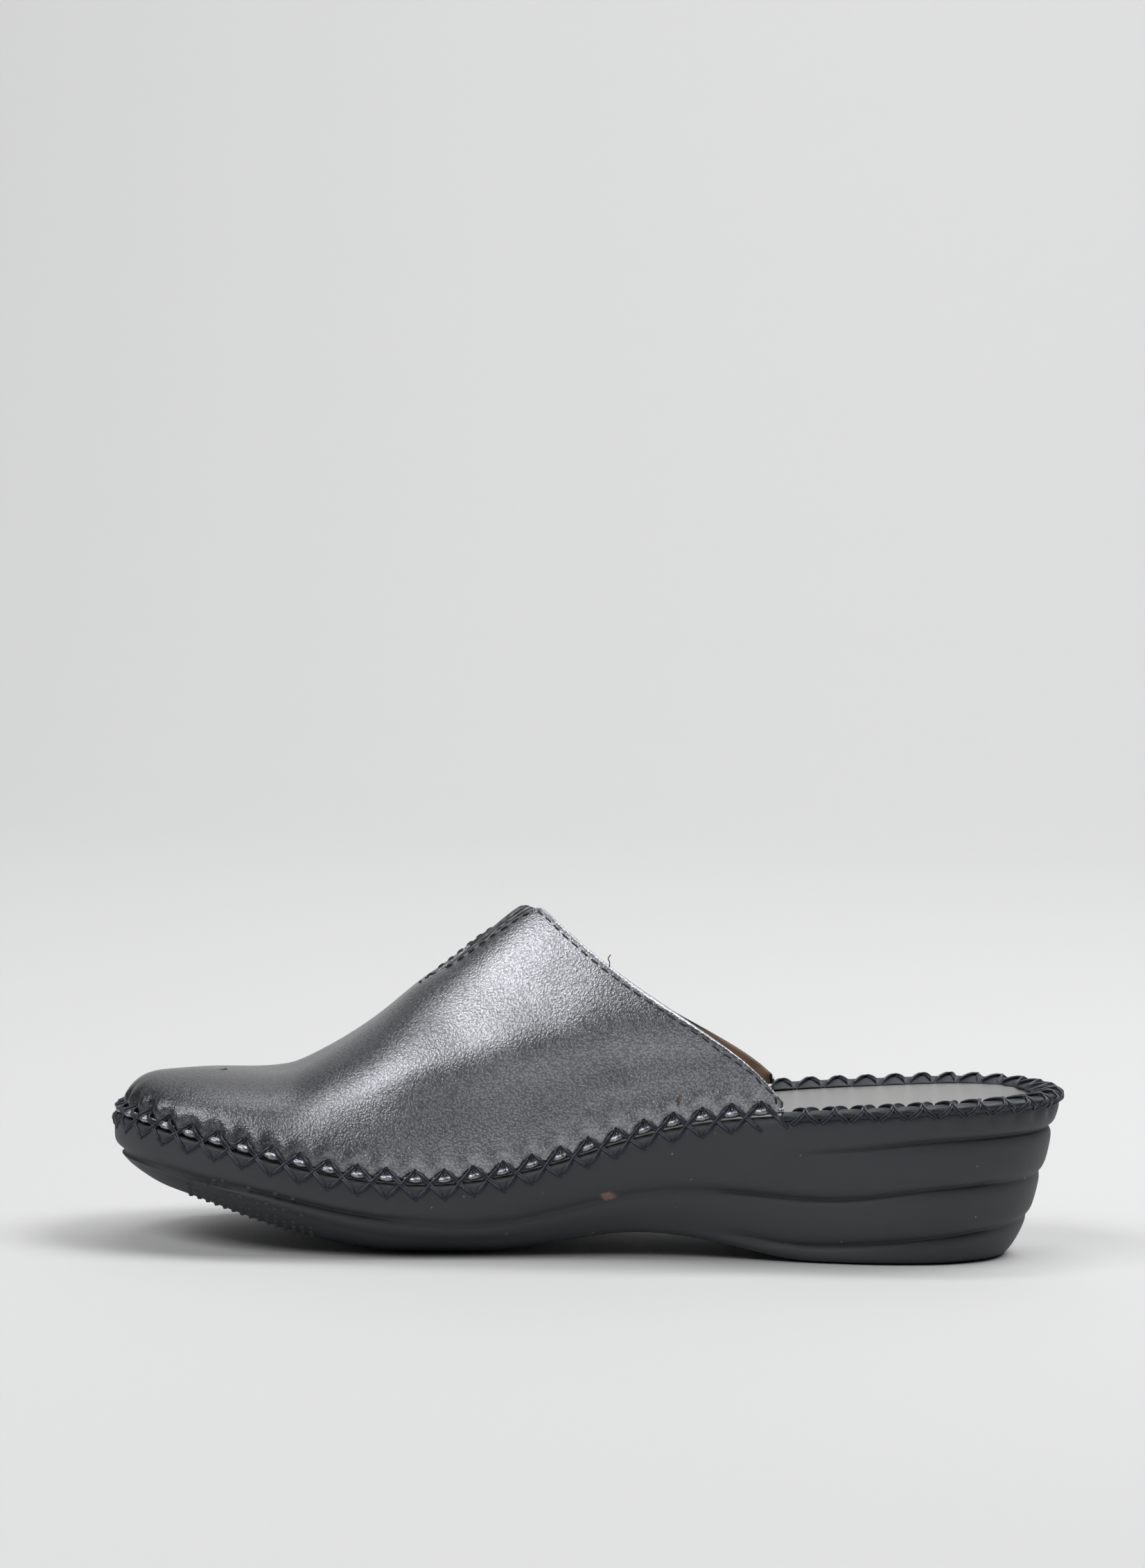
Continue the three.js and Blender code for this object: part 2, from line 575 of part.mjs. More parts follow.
// The elastic: a patch of the same surface, one leather wall and a gap further in. Its columns run
// from -1 at its edge on the inner side to 1 at its edge on the outer side.
function makeGore() {
  const gore = new Surface();
  const startShare = rowAt(goreTipX - GORE_UNDERLAP);
  const farthestShare = rowAt(goreTipX + PEAK_REACH * GORE_LENGTH);
  const columns = Array.from({ length: GORE_COLUMNS + 1 }, (_, i) => (2 * i) / GORE_COLUMNS - 1);
  const rows = Array.from({ length: GORE_ROWS + 3 }, (_, i) => i / (GORE_ROWS + 2));
  const layer = (depth) =>
    rows.map((way) =>
      columns.map((column) => {
        const side = column < 0 ? "inner" : "outer";
        const climbAt = (share) => {
          const spread = spreadAt(side, ridgePoint(share).x) + GORE_UNDERLAP;
          return climbToSpread(side, share, spread * Math.abs(column));
        };
        const above = (share) => overCollar(side, share, climbAt(share));
        const endShare = crossing(above, startShare, farthestShare);
        const share = startShare + (endShare - startShare) * way;
        const climb = climbAt(share);
        const point = leather(side, share, climb);
        return gore.add(point.addScaledVector(leatherNormal(side, share, climb), -depth));
      }),
    );
  const face = layer(UPPER_WALL + GORE_GAP);
  const back = layer(UPPER_WALL + GORE_GAP + GORE_WALL);
  for (let row = 1; row < rows.length; row++) {
    gore.join(face[row - 1], face[row]);
    gore.join(back[row], back[row - 1]);
  }
  const last = rows.length - 1;
  const edge = (skin, column) => skin.map((row) => row[column]);
  gore.join(back[0], face[0]);
  gore.join(face[last], back[last]);
  gore.join(edge(face, 0), edge(back, 0));
  gore.join(edge(back, GORE_COLUMNS), edge(face, GORE_COLUMNS));
  return gore.mesh("gore", elastic);
}

// The rolled edge's section: inset from the rim's outline, and height above the rim. It lies on
// the rim and hooks down over the insole's edge.
const rollSection = (along) => {
  const insoleTop = GAP + INSOLE_THICKNESS - recessDepth(along);
  const foot = insoleTop + GAP;
  const hook = FLOOR_INSET;
  const innerEdge = hook + ROLL_COVER;
  return [
    { inset: -0.4 * ROLL_OVERHANG, z: GAP },
    { inset: -ROLL_OVERHANG, z: GAP + 0.4 * ROLL_HEIGHT },
    { inset: 0, z: GAP + 0.85 * ROLL_HEIGHT },
    { inset: 0.4 * RIM_WIDTH, z: GAP + ROLL_HEIGHT },
    { inset: 0.85 * RIM_WIDTH, z: GAP + 0.9 * ROLL_HEIGHT },
    { inset: hook + 0.75 * ROLL_COVER, z: GAP + 0.3 * ROLL_HEIGHT },
    { inset: innerEdge, z: foot },
    { inset: hook, z: foot },
    { inset: hook, z: GAP },
  ];
};
// The section is a hook, so its ends are filled with these triangles between its points.
const rollEndFaces = [
  [0, 1, 2],
  [0, 2, 3],
  [0, 3, 4],
  [0, 4, 8],
  [8, 4, 5],
  [8, 5, 7],
  [7, 5, 6],
];
function makeHeelRoll() {
  const roll = new Surface();
  const startAlong = COLLAR_END + 2 * (GAP / SHOE_LENGTH);
  const behind = (turn) => station(turn).along - startAlong;
  const first = crossing(behind, 0.05, 0.5);
  const last = crossing(behind, 0.95, 0.5);
  const clear = 0.2 / OUTLINE_STEPS;
  const between = turns.filter((turn) => turn > first + clear && turn < last - clear);
  const sections = [first, ...between, last].map((turn) => {
    const place = station(turn);
    return rollSection(place.along).map(({ inset, z }) =>
      roll.add(inside(place, inset), rimHeight(place.along) + z),
    );
  });
  for (let i = 1; i < sections.length; i++) roll.join(sections[i - 1], sections[i], true);
  const lastSection = sections[sections.length - 1];
  for (const [a, b, c] of rollEndFaces) {
    roll.triangle(sections[0][a], sections[0][c], sections[0][b]);
    roll.triangle(lastSection[a], lastSection[b], lastSection[c]);
  }
  return roll.mesh("heel_rim_roll", edgeLeather);
}

// The slipper stands on z = 0 with the middle of its box over the origin.
const slipper = new THREE.Group();
slipper.add(makeSole(), makeInsole(), makeUpper(), makeGore(), makeHeelRoll());
const box = new THREE.Box3().setFromObject(slipper);
const middle = box.getCenter(new THREE.Vector3());
slipper.position.set(-middle.x, -middle.y, -box.min.z);
export default slipper;
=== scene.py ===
# %% [markdown]
# # A leather house slipper
#
# The slipper is a closed-toe mule for the right foot: a moulded sole, a folded leather upper sewn
# to its rim with crossed cords, a V of elastic on the instep, a leather insole and a rolled leather
# edge round the open heel. The plain solids come first, as a fixed frame. This script then dresses
# each of them with smooth forms, stitches, creases and finishes.

import json
import math

import bmesh
import bpy
import numpy as np
from mathutils import Matrix, Vector
from mathutils.bvhtree import BVHTree
from mathutils.kdtree import KDTree

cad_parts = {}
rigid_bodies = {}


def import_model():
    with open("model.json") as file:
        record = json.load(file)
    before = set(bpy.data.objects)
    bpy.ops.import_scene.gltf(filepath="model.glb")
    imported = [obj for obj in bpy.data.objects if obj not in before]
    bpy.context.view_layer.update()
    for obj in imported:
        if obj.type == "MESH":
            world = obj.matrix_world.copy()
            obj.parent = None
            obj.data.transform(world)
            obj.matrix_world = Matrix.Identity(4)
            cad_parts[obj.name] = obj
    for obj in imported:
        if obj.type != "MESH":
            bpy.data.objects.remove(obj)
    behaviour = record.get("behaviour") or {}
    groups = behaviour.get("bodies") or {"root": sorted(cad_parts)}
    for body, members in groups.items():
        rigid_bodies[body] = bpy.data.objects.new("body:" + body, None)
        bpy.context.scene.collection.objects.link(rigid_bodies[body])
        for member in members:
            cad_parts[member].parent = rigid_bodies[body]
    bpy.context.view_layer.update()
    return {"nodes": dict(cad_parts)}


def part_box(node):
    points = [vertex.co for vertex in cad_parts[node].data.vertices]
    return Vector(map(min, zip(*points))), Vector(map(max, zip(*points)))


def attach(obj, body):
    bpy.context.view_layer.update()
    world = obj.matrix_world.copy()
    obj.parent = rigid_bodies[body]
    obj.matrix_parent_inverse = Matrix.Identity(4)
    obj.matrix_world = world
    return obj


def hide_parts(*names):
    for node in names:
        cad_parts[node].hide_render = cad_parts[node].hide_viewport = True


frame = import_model()
print("nodes:", sorted(frame["nodes"]))

MM = 0.001

# %% [markdown]
# ## Camera
#
# The picture is taken from the inner side of the foot with a long lens, a little above the toe and
# looking slightly down. The camera stands as far away as it did for the photograph, because the
# distance decides how much of the insole shows over the heel's rim.

# %% Place the camera
CAMERA_PLACE = Vector((-6.42, -1404.72, 224)) * MM
CAMERA_PITCH = 3.945  # degrees below the horizon
CAMERA_ROLL = 1.4  # degrees
CAMERA_LENS = 116.48  # mm, on a 36 mm sensor along the picture's long side


def add_camera():
    bpy.ops.object.camera_add()
    camera = bpy.context.object
    camera.name = "camera"
    camera.data.lens = CAMERA_LENS
    camera.data.sensor_width = 36
    camera.data.clip_end = 50
    pitch = Matrix.Rotation(math.radians(90 - CAMERA_PITCH), 4, "X")
    roll = Matrix.Rotation(math.radians(CAMERA_ROLL), 4, "Z")
    camera.matrix_world = Matrix.Translation(CAMERA_PLACE) @ pitch @ roll
    bpy.context.scene.camera = camera
    return camera


camera = add_camera()
print("camera at", [round(v, 3) for v in camera.location])

# %% [markdown]
# ## Helpers for materials
#
# A material is a small network of nodes. One function adds a node with its settings and links, and
# one turns the hex colours that a designer reads off a swatch into the linear values that the
# shader works in.

# %% Colour and node helpers


def linear(hex_colour):
    parts = [int(hex_colour[i : i + 2], 16) / 255 for i in (1, 3, 5)]
    values = [c / 12.92 if c <= 0.04045 else ((c + 0.055) / 1.055) ** 2.4 for c in parts]
    return (*values, 1.0)


def add_node(tree, kind, settings=None, inputs=None, links=None):
    node = tree.nodes.new(kind)
    for name, value in (settings or {}).items():
        setattr(node, name, value)
    for name, value in (inputs or {}).items():
        node.inputs[name].default_value = value
    for name, source in (links or {}).items():
        tree.links.new(source, node.inputs[name])
    return node


def new_material(name, **surface):
    """A material and its Principled shader, with the values that are the same all over."""
    material = bpy.data.materials.new(name)
    material.use_nodes = True
    shader = material.node_tree.nodes["Principled BSDF"]
    for socket, value in surface.items():
        shader.inputs[socket.replace("_", " ")].default_value = value
    return material, material.node_tree, shader


def ramp_node(tree, factor, stops):
    """A colour ramp: stops are pairs of a place and a colour."""
    node = add_node(tree, "ShaderNodeValToRGB", links={"Fac": factor})
    elements = node.color_ramp.elements
    while len(elements) < len(stops):
        elements.new(0.5)
    for element, (place, colour) in zip(elements, stops):
        element.position = place
        element.color = colour
    return node


# %% A worn spot


def worn_spot(tree, place, colour, centre, radii, spot_colour, strength):
    """The colour with a soft ragged spot mixed into it, round a centre given in millimetres."""
    ragged = add_node(
        tree, "ShaderNodeTexNoise", None, {"Scale": 900.0, "Detail": 3.0}, {"Vector": place}
    )
    shift = add_node(
        tree,
        "ShaderNodeVectorMath",
        {"operation": "MULTIPLY_ADD"},
        {1: (2 * MM, 2 * MM, 2 * MM), 2: (-1 * MM, -1 * MM, -1 * MM)},
        {0: ragged.outputs["Color"]},
    )
    shaken = add_node(
        tree, "ShaderNodeVectorMath", {"operation": "ADD"}, None, {0: place, 1: shift.outputs[0]}
    )
    offset = add_node(
        tree,
        "ShaderNodeVectorMath",
        {"operation": "SUBTRACT"},
        {1: tuple(v * MM for v in centre)},
        {0: shaken.outputs[0]},
    )
    scaled = add_node(
        tree,
        "ShaderNodeVectorMath",
        {"operation": "DIVIDE"},
        {1: tuple(v * MM for v in radii)},
        {0: offset.outputs[0]},
    )
    distance = add_node(
        tree, "ShaderNodeVectorMath", {"operation": "LENGTH"}, None, {0: scaled.outputs[0]}
    )
    share = add_node(
        tree,
        "ShaderNodeMapRange",
        {"interpolation_type": "SMOOTHSTEP"},
        {"From Min": 0.5, "From Max": 1.2, "To Min": strength, "To Max": 0.0},
        {"Value": distance.outputs["Value"]},
    )
    return add_node(
        tree,
        "ShaderNodeMix",
        {"data_type": "RGBA"},
        {7: linear(spot_colour)},
        {0: share.outputs["Result"], 6: colour},
    ).outputs[2]


# %% [markdown]
# ## Leather finishes
#
# The upper is pewter-coloured metallic leather: a dyed hide with a thin metallic foil, embossed
# with a fine pebble grain. The foil makes it shine like a soft metal, and each pebble catches the
# light by itself, so highlights break up into a fine sparkle. Its pebbles are about 0.7 mm wide.

# %% Pewter leather
PEBBLE = 0.7 * MM
TOE_SHADE_DARKEST_X = -95 * MM  # the toe in front of this is painted darker: painted shade for the toe's dark reflection
TOE_SHADE_END_X = -38 * MM


def pebble_height(tree, coordinates, size):
    """The height of a pebbled grain: round cells with fine creases between them."""
    cells = add_node(
        tree,
        "ShaderNodeTexVoronoi",
        {"feature": "SMOOTH_F1"},
        {"Scale": 1 / size, "Smoothness": 0.35, "Randomness": 1.0},
        {"Vector": coordinates},
    )
    fine = add_node(
        tree,
        "ShaderNodeTexNoise",
        None,
        {"Scale": 2.2 / size, "Detail": 2.0},
        {"Vector": coordinates},
    )
    return add_node(
        tree,
        "ShaderNodeMath",
        {"operation": "MULTIPLY_ADD"},
        {1: -0.7},
        {0: cells.outputs["Distance"], 2: fine.outputs["Fac"]},
    )


def make_pewter_leather(name, toe_shade_share):
    """Foiled leather whose colour on the toe is painted down to a share of its colour elsewhere: painted shade.
    """
    material, tree, shader = new_material(name, Metallic=0.96, IOR=1.5)
    place = add_node(tree, "ShaderNodeTexCoord").outputs["Object"]
    grain = pebble_height(tree, place, PEBBLE)
    clouds = add_node(
        tree, "ShaderNodeTexNoise", None, {"Scale": 26.0, "Detail": 3.0}, {"Vector": place}
    )
    tone = ramp_node(
        tree,
        clouds.outputs["Fac"],
        [(0.3, linear("#9fa0a5")), (0.7, linear("#adaeb3"))],
    )
    speckle = ramp_node(
        tree,
        grain.outputs[0],
        [(0.0, linear("#6f6f72")), (0.35, linear("#ffffff"))],
    )
    colour = add_node(
        tree,
        "ShaderNodeMix",
        {"data_type": "RGBA", "blend_type": "MULTIPLY"},
        {"Factor": 0.5},
        {6: tone.outputs["Color"], 7: speckle.outputs["Color"]},
    )
    # The toe is painted darker towards its front: painted shade for its dark reflection.
    x_place = add_node(tree, "ShaderNodeSeparateXYZ", links={"Vector": place}).outputs["X"]
    toe_shade = add_node(
        tree,
        "ShaderNodeMapRange",
        {"interpolation_type": "SMOOTHSTEP"},
        {"From Min": TOE_SHADE_DARKEST_X, "From Max": TOE_SHADE_END_X, "To Min": toe_shade_share, "To Max": 1.0},
        {"Value": x_place},
    )
    foiled = add_node(
        tree,
        "ShaderNodeMix",
        {"data_type": "RGBA", "blend_type": "MULTIPLY"},
        {"Factor": 1.0},
        {6: colour.outputs[2], 7: toe_shade.outputs["Result"]},
    )
    scuffed = worn_spot(
        tree, place, foiled.outputs[2], (24.3, -42, 43.5), (0.8, 14, 2.0), "#5d432c", 0.9
    )
    tree.links.new(scuffed, shader.inputs["Base Color"])
    gloss = add_node(
        tree,
        "ShaderNodeMapRange",
        None,
        {"To Min": 0.25, "To Max": 0.32},
        {"Value": clouds.outputs["Fac"]},
    )
    tree.links.new(gloss.outputs["Result"], shader.inputs["Roughness"])
    bump = add_node(
        tree,
        "ShaderNodeBump",
        None,
        {"Strength": 0.9, "Distance": 0.13 * MM},
        {"Height": grain.outputs[0]},
    )
    tree.links.new(bump.outputs["Normal"], shader.inputs["Normal"])
    return material


pewter_leather = make_pewter_leather("pewter foiled leather", 0.42)
hem_leather = make_pewter_leather("pewter hem leather", 1.0)

# %% [markdown]
# The lining is a thin tan pigskin, matt and finely pored. The cut edge of the upper's outer side is
# painted near-black, as leather workers do to seal it. The rolled edge round the heel is smooth
# black leather, and the insole is grey leather with a very fine grain.

# %% Plain leathers


def make_plain_leather(name, dark, light, roughness, grain_size, depth, **surface):
    material, tree, shader = new_material(name, **surface)
    place = add_node(tree, "ShaderNodeTexCoord").outputs["Object"]
    grain = pebble_height(tree, place, grain_size)
    clouds = add_node(
        tree, "ShaderNodeTexNoise", None, {"Scale": 40.0, "Detail": 4.0}, {"Vector": place}
    )
    tone = ramp_node(
        tree, clouds.outputs["Fac"], [(0.3, linear(dark)), (0.7, linear(light))]
    )
    tree.links.new(tone.outputs["Color"], shader.inputs["Base Color"])
    gloss = add_node(
        tree,
        "ShaderNodeMapRange",
        None,
        {"To Min": roughness - 0.06, "To Max": roughness + 0.06},
        {"Value": clouds.outputs["Fac"]},
    )
    tree.links.new(gloss.outputs["Result"], shader.inputs["Roughness"])
    bump = add_node(
        tree,
        "ShaderNodeBump",
        None,
        {"Strength": 0.5, "Distance": depth},
        {"Height": grain.outputs[0]},
    )
    tree.links.new(bump.outputs["Normal"], shader.inputs["Normal"])
    return material


lining_leather = make_plain_leather(
    "tan pigskin lining", "#7d6450", "#94795f", 0.75, 0.8 * MM, 0.1 * MM
)
painted_edge = make_plain_leather(
    "painted leather edge", "#16181d", "#20232a", 0.45, 0.7 * MM, 0.08 * MM
)
edge_leather = make_plain_leather(
    "black rolled leather", "#14171d", "#1d2128", 0.5, 1.1 * MM, 0.14 * MM
)
insole_leather = make_plain_leather(
    "grey sock leather", "#757474", "#7f7e7d", 0.3, 0.7 * MM, 0.05 * MM
)

# %% [markdown]
# ## Foam sole finish
#
# The sole is moulded polyurethane foam with a closed matt skin. Such a skin has a faint orange
# peel, a soft wide sheen where it curves, and it keeps dust and pale rubs on its corners.

# %% Moulded foam


def make_foam():
    material, tree, shader = new_material("moulded polyurethane", IOR=1.45)
    place = add_node(tree, "ShaderNodeTexCoord").outputs["Object"]
    clouds = add_node(
        tree, "ShaderNodeTexNoise", None, {"Scale": 18.0, "Detail": 4.0}, {"Vector": place}
    )
    tone = ramp_node(
        tree,
        clouds.outputs["Fac"],
        [(0.3, linear("#34373a")), (0.7, linear("#3b3e41"))],
    )
    dust = add_node(
        tree,
        "ShaderNodeTexVoronoi",
        {"feature": "F1"},
        {"Scale": 1 / (7 * MM), "Randomness": 1.0},
        {"Vector": place},
    )
    speck = ramp_node(
        tree,
        dust.outputs["Distance"],
        [(0.0, linear("#ffffff")), (0.055, linear("#000000"))],
    )
    dusty = add_node(
        tree,
        "ShaderNodeMix",
        {"data_type": "RGBA"},
        {7: linear("#8f8f8c")},
        {0: speck.outputs["Color"], 6: tone.outputs["Color"]},
    )
    rubbed = worn_spot(
        tree, place, dusty.outputs[2], (6, -40, 17.5), (2.4, 20, 1.3), "#94706a", 0.8
    )
    tree.links.new(rubbed, shader.inputs["Base Color"])
    gloss = add_node(
        tree,
        "ShaderNodeMapRange",
        None,
        {"To Min": 0.5, "To Max": 0.62},
        {"Value": clouds.outputs["Fac"]},
    )
    tree.links.new(gloss.outputs["Result"], shader.inputs["Roughness"])
    peel = add_node(
        tree,
        "ShaderNodeTexNoise",
        None,
        {"Scale": 1 / (1.6 * MM), "Detail": 2.0},
        {"Vector": place},
    )
    bump = add_node(
        tree,
        "ShaderNodeBump",
        None,
        {"Strength": 0.25, "Distance": 0.1 * MM},
        {"Height": peel.outputs["Fac"]},
    )
    tree.links.new(bump.outputs["Normal"], shader.inputs["Normal"])
    return material


foam = make_foam()

# %% [markdown]
# ## Cord, thread and elastic finishes
#
# The crossed stitches are a waxed navy-black cord. The wax gives it a slight shine over its fibres.
# The elastic is a knitted band: fine ribs run along the foot, with lighter yarn that shows between
# them as specks.

# %% Cord and thread


def make_cord_finish(name, dark, light, roughness):
    material, tree, shader = new_material(name, IOR=1.5)
    place = add_node(tree, "ShaderNodeTexCoord").outputs["Object"]
    fibres = add_node(
        tree,
        "ShaderNodeTexNoise",
        None,
        {"Scale": 1 / (0.5 * MM), "Detail": 3.0},
        {"Vector": place},
    )
    tone = ramp_node(
        tree, fibres.outputs["Fac"], [(0.35, linear(dark)), (0.7, linear(light))]
    )
    tree.links.new(tone.outputs["Color"], shader.inputs["Base Color"])
    bump = add_node(
        tree,
        "ShaderNodeBump",
        None,
        {"Strength": 0.6, "Distance": 0.1 * MM},
        {"Height": fibres.outputs["Fac"]},
    )
    tree.links.new(bump.outputs["Normal"], shader.inputs["Normal"])
    shader.inputs["Roughness"].default_value = roughness
    return material


waxed_cord = make_cord_finish("waxed cord", "#191c24", "#333744", 0.4)
black_thread = make_cord_finish("black thread", "#101012", "#242428", 0.55)

# %% Knitted elastic
RIB_PITCH = 1.5 * MM
SPECK = 0.8 * MM


def make_elastic():
    material, tree, shader = new_material("knitted elastic", Roughness=0.9)
    place = add_node(tree, "ShaderNodeTexCoord").outputs["Object"]
    ribs = add_node(
        tree,
        "ShaderNodeTexWave",
        {"wave_type": "BANDS", "bands_direction": "Y", "wave_profile": "SIN"},
        {"Scale": 0.314 / RIB_PITCH, "Distortion": 0.4, "Detail": 1.0},
        {"Vector": place},
    )
    stretch = add_node(
        tree,
        "ShaderNodeMapping",
        None,
        {"Scale": (0.45, 1.0, 0.45)},
        {"Vector": place},
    )
    yarn = add_node(
        tree,
        "ShaderNodeTexNoise",
        None,
        {"Scale": 1 / SPECK, "Detail": 2.0},
        {"Vector": stretch.outputs["Vector"]},
    )
    tone = ramp_node(
        tree,
        yarn.outputs["Fac"],
        [(0.42, linear("#2d2e31")), (0.62, linear("#85868a"))],
    )
    shade = ramp_node(
        tree, ribs.outputs["Fac"], [(0.0, linear("#8a8a8a")), (0.6, linear("#ffffff"))]
    )
    colour = add_node(
        tree,
        "ShaderNodeMix",
        {"data_type": "RGBA", "blend_type": "MULTIPLY"},
        {"Factor": 1.0},
        {6: tone.outputs["Color"], 7: shade.outputs["Color"]},
    )
    tree.links.new(colour.outputs[2], shader.inputs["Base Color"])
    height = add_node(
        tree,
        "ShaderNodeMath",
        {"operation": "MULTIPLY_ADD"},
        {1: 0.4},
        {0: yarn.outputs["Fac"], 2: ribs.outputs["Fac"]},
    )
    bump = add_node(
        tree,
        "ShaderNodeBump",
        None,
        {"Strength": 0.9, "Distance": 0.3 * MM},
        {"Height": height.outputs[0]},
    )
    tree.links.new(bump.outputs["Normal"], shader.inputs["Normal"])
    return material


elastic = make_elastic()
print("materials:", sorted(m.name for m in bpy.data.materials))

# %% [markdown]
# ## Smooth copies of the solids
#
# The solids are faceted. A copy is merged, its triangles are paired back into squares, and
# Subdivision Surface rounds it. This keeps the real form and gives enough points for the creases
# and puffs that follow.

# %% Copy and smooth a node


def deselect_all():
    bpy.ops.object.select_all(action="DESELECT")


def choose(piece):
    deselect_all()
    piece.select_set(True)
    bpy.context.view_layer.objects.active = piece


def merged_copy(node, name, weld=0.02 * MM):
    choose(frame["nodes"][node])
    bpy.ops.object.duplicate()
    piece = bpy.context.object
    bpy.ops.object.parent_clear(type="CLEAR_KEEP_TRANSFORM")
    piece.name = name
    piece.data.name = name
    for key in list(piece.keys()):
        del piece[key]
    piece.data.materials.clear()
    bpy.ops.object.mode_set(mode="EDIT")
    bpy.ops.mesh.select_all(action="SELECT")
    bpy.ops.mesh.remove_doubles(threshold=weld)
    bpy.ops.mesh.tris_convert_to_quads(face_threshold=math.radians(50), shape_threshold=math.radians(70))
    bpy.ops.mesh.customdata_custom_splitnormals_clear()
    bpy.ops.object.mode_set(mode="OBJECT")
    return piece


def smooth(piece, levels):
    choose(piece)
    modifier = piece.modifiers.new("rounding", "SUBSURF")
    modifier.levels = levels
    modifier.render_levels = levels
    bpy.ops.object.modifier_apply(modifier=modifier.name)
    bpy.ops.object.shade_smooth()
    return piece


def finish_piece(piece, node):
    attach(piece, "root")
    if node:
        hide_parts(node)
    triangles = sum(len(p.vertices) - 2 for p in piece.data.polygons)
    print(piece.name, "has", triangles, "triangles")
    return piece


# %% [markdown]
# ## The sole
#
# One moulded wedge with a sprung toe, an arch and three lines along its side. The solid has all of
# that, so its smooth copy needs only its skin. Before smoothing, the copy's rim is read as a curve,
# because every stitch, hem and roll of the slipper follows it.

# %% Sole
sole = merged_copy("sole", "foam_sole")


def rim_ring(piece):
    """The points where the sole's level lip turns down into its outer wall, in order round it."""
    mesh = bmesh.new()
    mesh.from_mesh(piece.data)
    mesh.normal_update()
    links = {}
    for edge in mesh.edges:
        level = [face for face in edge.link_faces if face.normal.z > 0.8]
        steep = [face for face in edge.link_faces if abs(face.normal.z) < 0.75]
        if len(level) != 1 or len(steep) != 1:
            continue
        out_of_lip = edge.verts[0].co - level[0].calc_center_median()
        if steep[0].normal.dot(out_of_lip) <= 0:
            continue
        a, b = edge.verts
        links.setdefault(a.index, []).append(b.index)
        links.setdefault(b.index, []).append(a.index)
    mesh.verts.ensure_lookup_table()
    start = max(links, key=lambda i: mesh.verts[i].co.x)
    walk = [start, links[start][0]]
    while True:
        onward = [i for i in links[walk[-1]] if i != walk[-2]]
        if not onward or onward[0] == start:
            break
        walk.append(onward[0])
    found = [mesh.verts[i].co.copy() for i in walk]
    mesh.free()
    area = sum(p.x * q.y - q.x * p.y for p, q in zip(found, found[1:] + found[:1]))
    return found if area > 0 else found[::-1]


def closed_curve(points, steps):
    """Points spread evenly along a smooth closed curve through the given ones."""
    ring = np.array([list(p) for p in points])
    fine = []
    for i in range(len(ring)):
        a, b, c, d = (ring[(i + k) % len(ring)] for k in (-1, 0, 1, 2))
        for t in np.linspace(0, 1, 12, endpoint=False):
            fine.append(
                0.5
                * (
                    2 * b
                    + (c - a) * t
                    + (2 * a - 5 * b + 4 * c - d) * t**2
                    + (3 * b - a - 3 * c + d) * t**3
                )
            )
    fine = np.array(fine)
    lengths = np.linalg.norm(np.roll(fine, -1, axis=0) - fine, axis=1)
    along = np.concatenate([[0], np.cumsum(lengths)])
    looped = np.vstack([fine, fine[:1]])
    places = np.linspace(0, along[-1], steps, endpoint=False)
    even = np.column_stack([np.interp(places, along, looped[:, k]) for k in range(3)])
    return even, along[-1]


rim_source = rim_ring(sole)
RIM_STEPS = 2400
rim, RIM_LENGTH = closed_curve(rim_source, RIM_STEPS)
rim_tangent = np.roll(rim, -6, axis=0) - np.roll(rim, 6, axis=0)
rim_tangent[:, 2] = 0
rim_tangent /= np.linalg.norm(rim_tangent, axis=1)[:, None]
rim_outward = np.column_stack([rim_tangent[:, 1], -rim_tangent[:, 0], np.zeros(RIM_STEPS)])
print("rim ring has", len(rim_source), "points and is", round(RIM_LENGTH / MM, 1), "mm long")


def rim_at(place):
    """The rim's point and outward direction at a distance along it."""
    index = int(round(place / RIM_LENGTH * RIM_STEPS)) % RIM_STEPS
    return Vector(rim[index]), Vector(rim_outward[index])


rim_tree = KDTree(RIM_STEPS)
for index, point in enumerate(rim):
    rim_tree.insert((point[0], point[1], 0), index)
rim_tree.balance()


def rim_place(point):
    """How far along the rim a point lies, seen from above."""
    _, index, _ = rim_tree.find((point.x, point.y, 0))
    return index / RIM_STEPS * RIM_LENGTH


# %% [markdown]
# Subdivision would melt the lines along the sole's side. Their deepest edges are pushed in a little
# and given a crease, which keeps them narrow.

# %% Sharpen the lines of the sole
LINE_FOLD = math.radians(14)
LINE_PUSH = 0.8 * MM
LINE_CREASE = 0.9


def sharpen_lines(piece):
    mesh = bmesh.new()
    mesh.from_mesh(piece.data)
    mesh.normal_update()
    crease = mesh.edges.layers.float.new("crease_edge")
    pushes = {}
    for edge in mesh.edges:
        if len(edge.link_faces) != 2 or edge.calc_face_angle_signed() > -LINE_FOLD:
            continue
        if any(abs(face.normal.z) > 0.8 for face in edge.link_faces):
            continue
        along = (edge.verts[0].co - edge.verts[1].co).normalized()
        if abs(along.z) > 0.6:
            continue
        edge[crease] = LINE_CREASE
        for vert in edge.verts:
            pushes[vert] = Vector((vert.normal.x, vert.normal.y, 0)) * LINE_PUSH
    for vert, push in pushes.items():
        vert.co -= push
    mesh.to_mesh(piece.data)
    mesh.free()
    return len(pushes)


print("points on the lines of the sole:", sharpen_lines(sole))
smooth(sole, 2)
sole.data.materials.append(foam)
finish_piece(sole, "sole")

# %% [markdown]
# ## Stitch spacing
#
# The crossed stitches run all the way round at one pitch. Their number is a whole one, and one of
# them is set at a hole that is easy to recognise on the inner side of the ball.

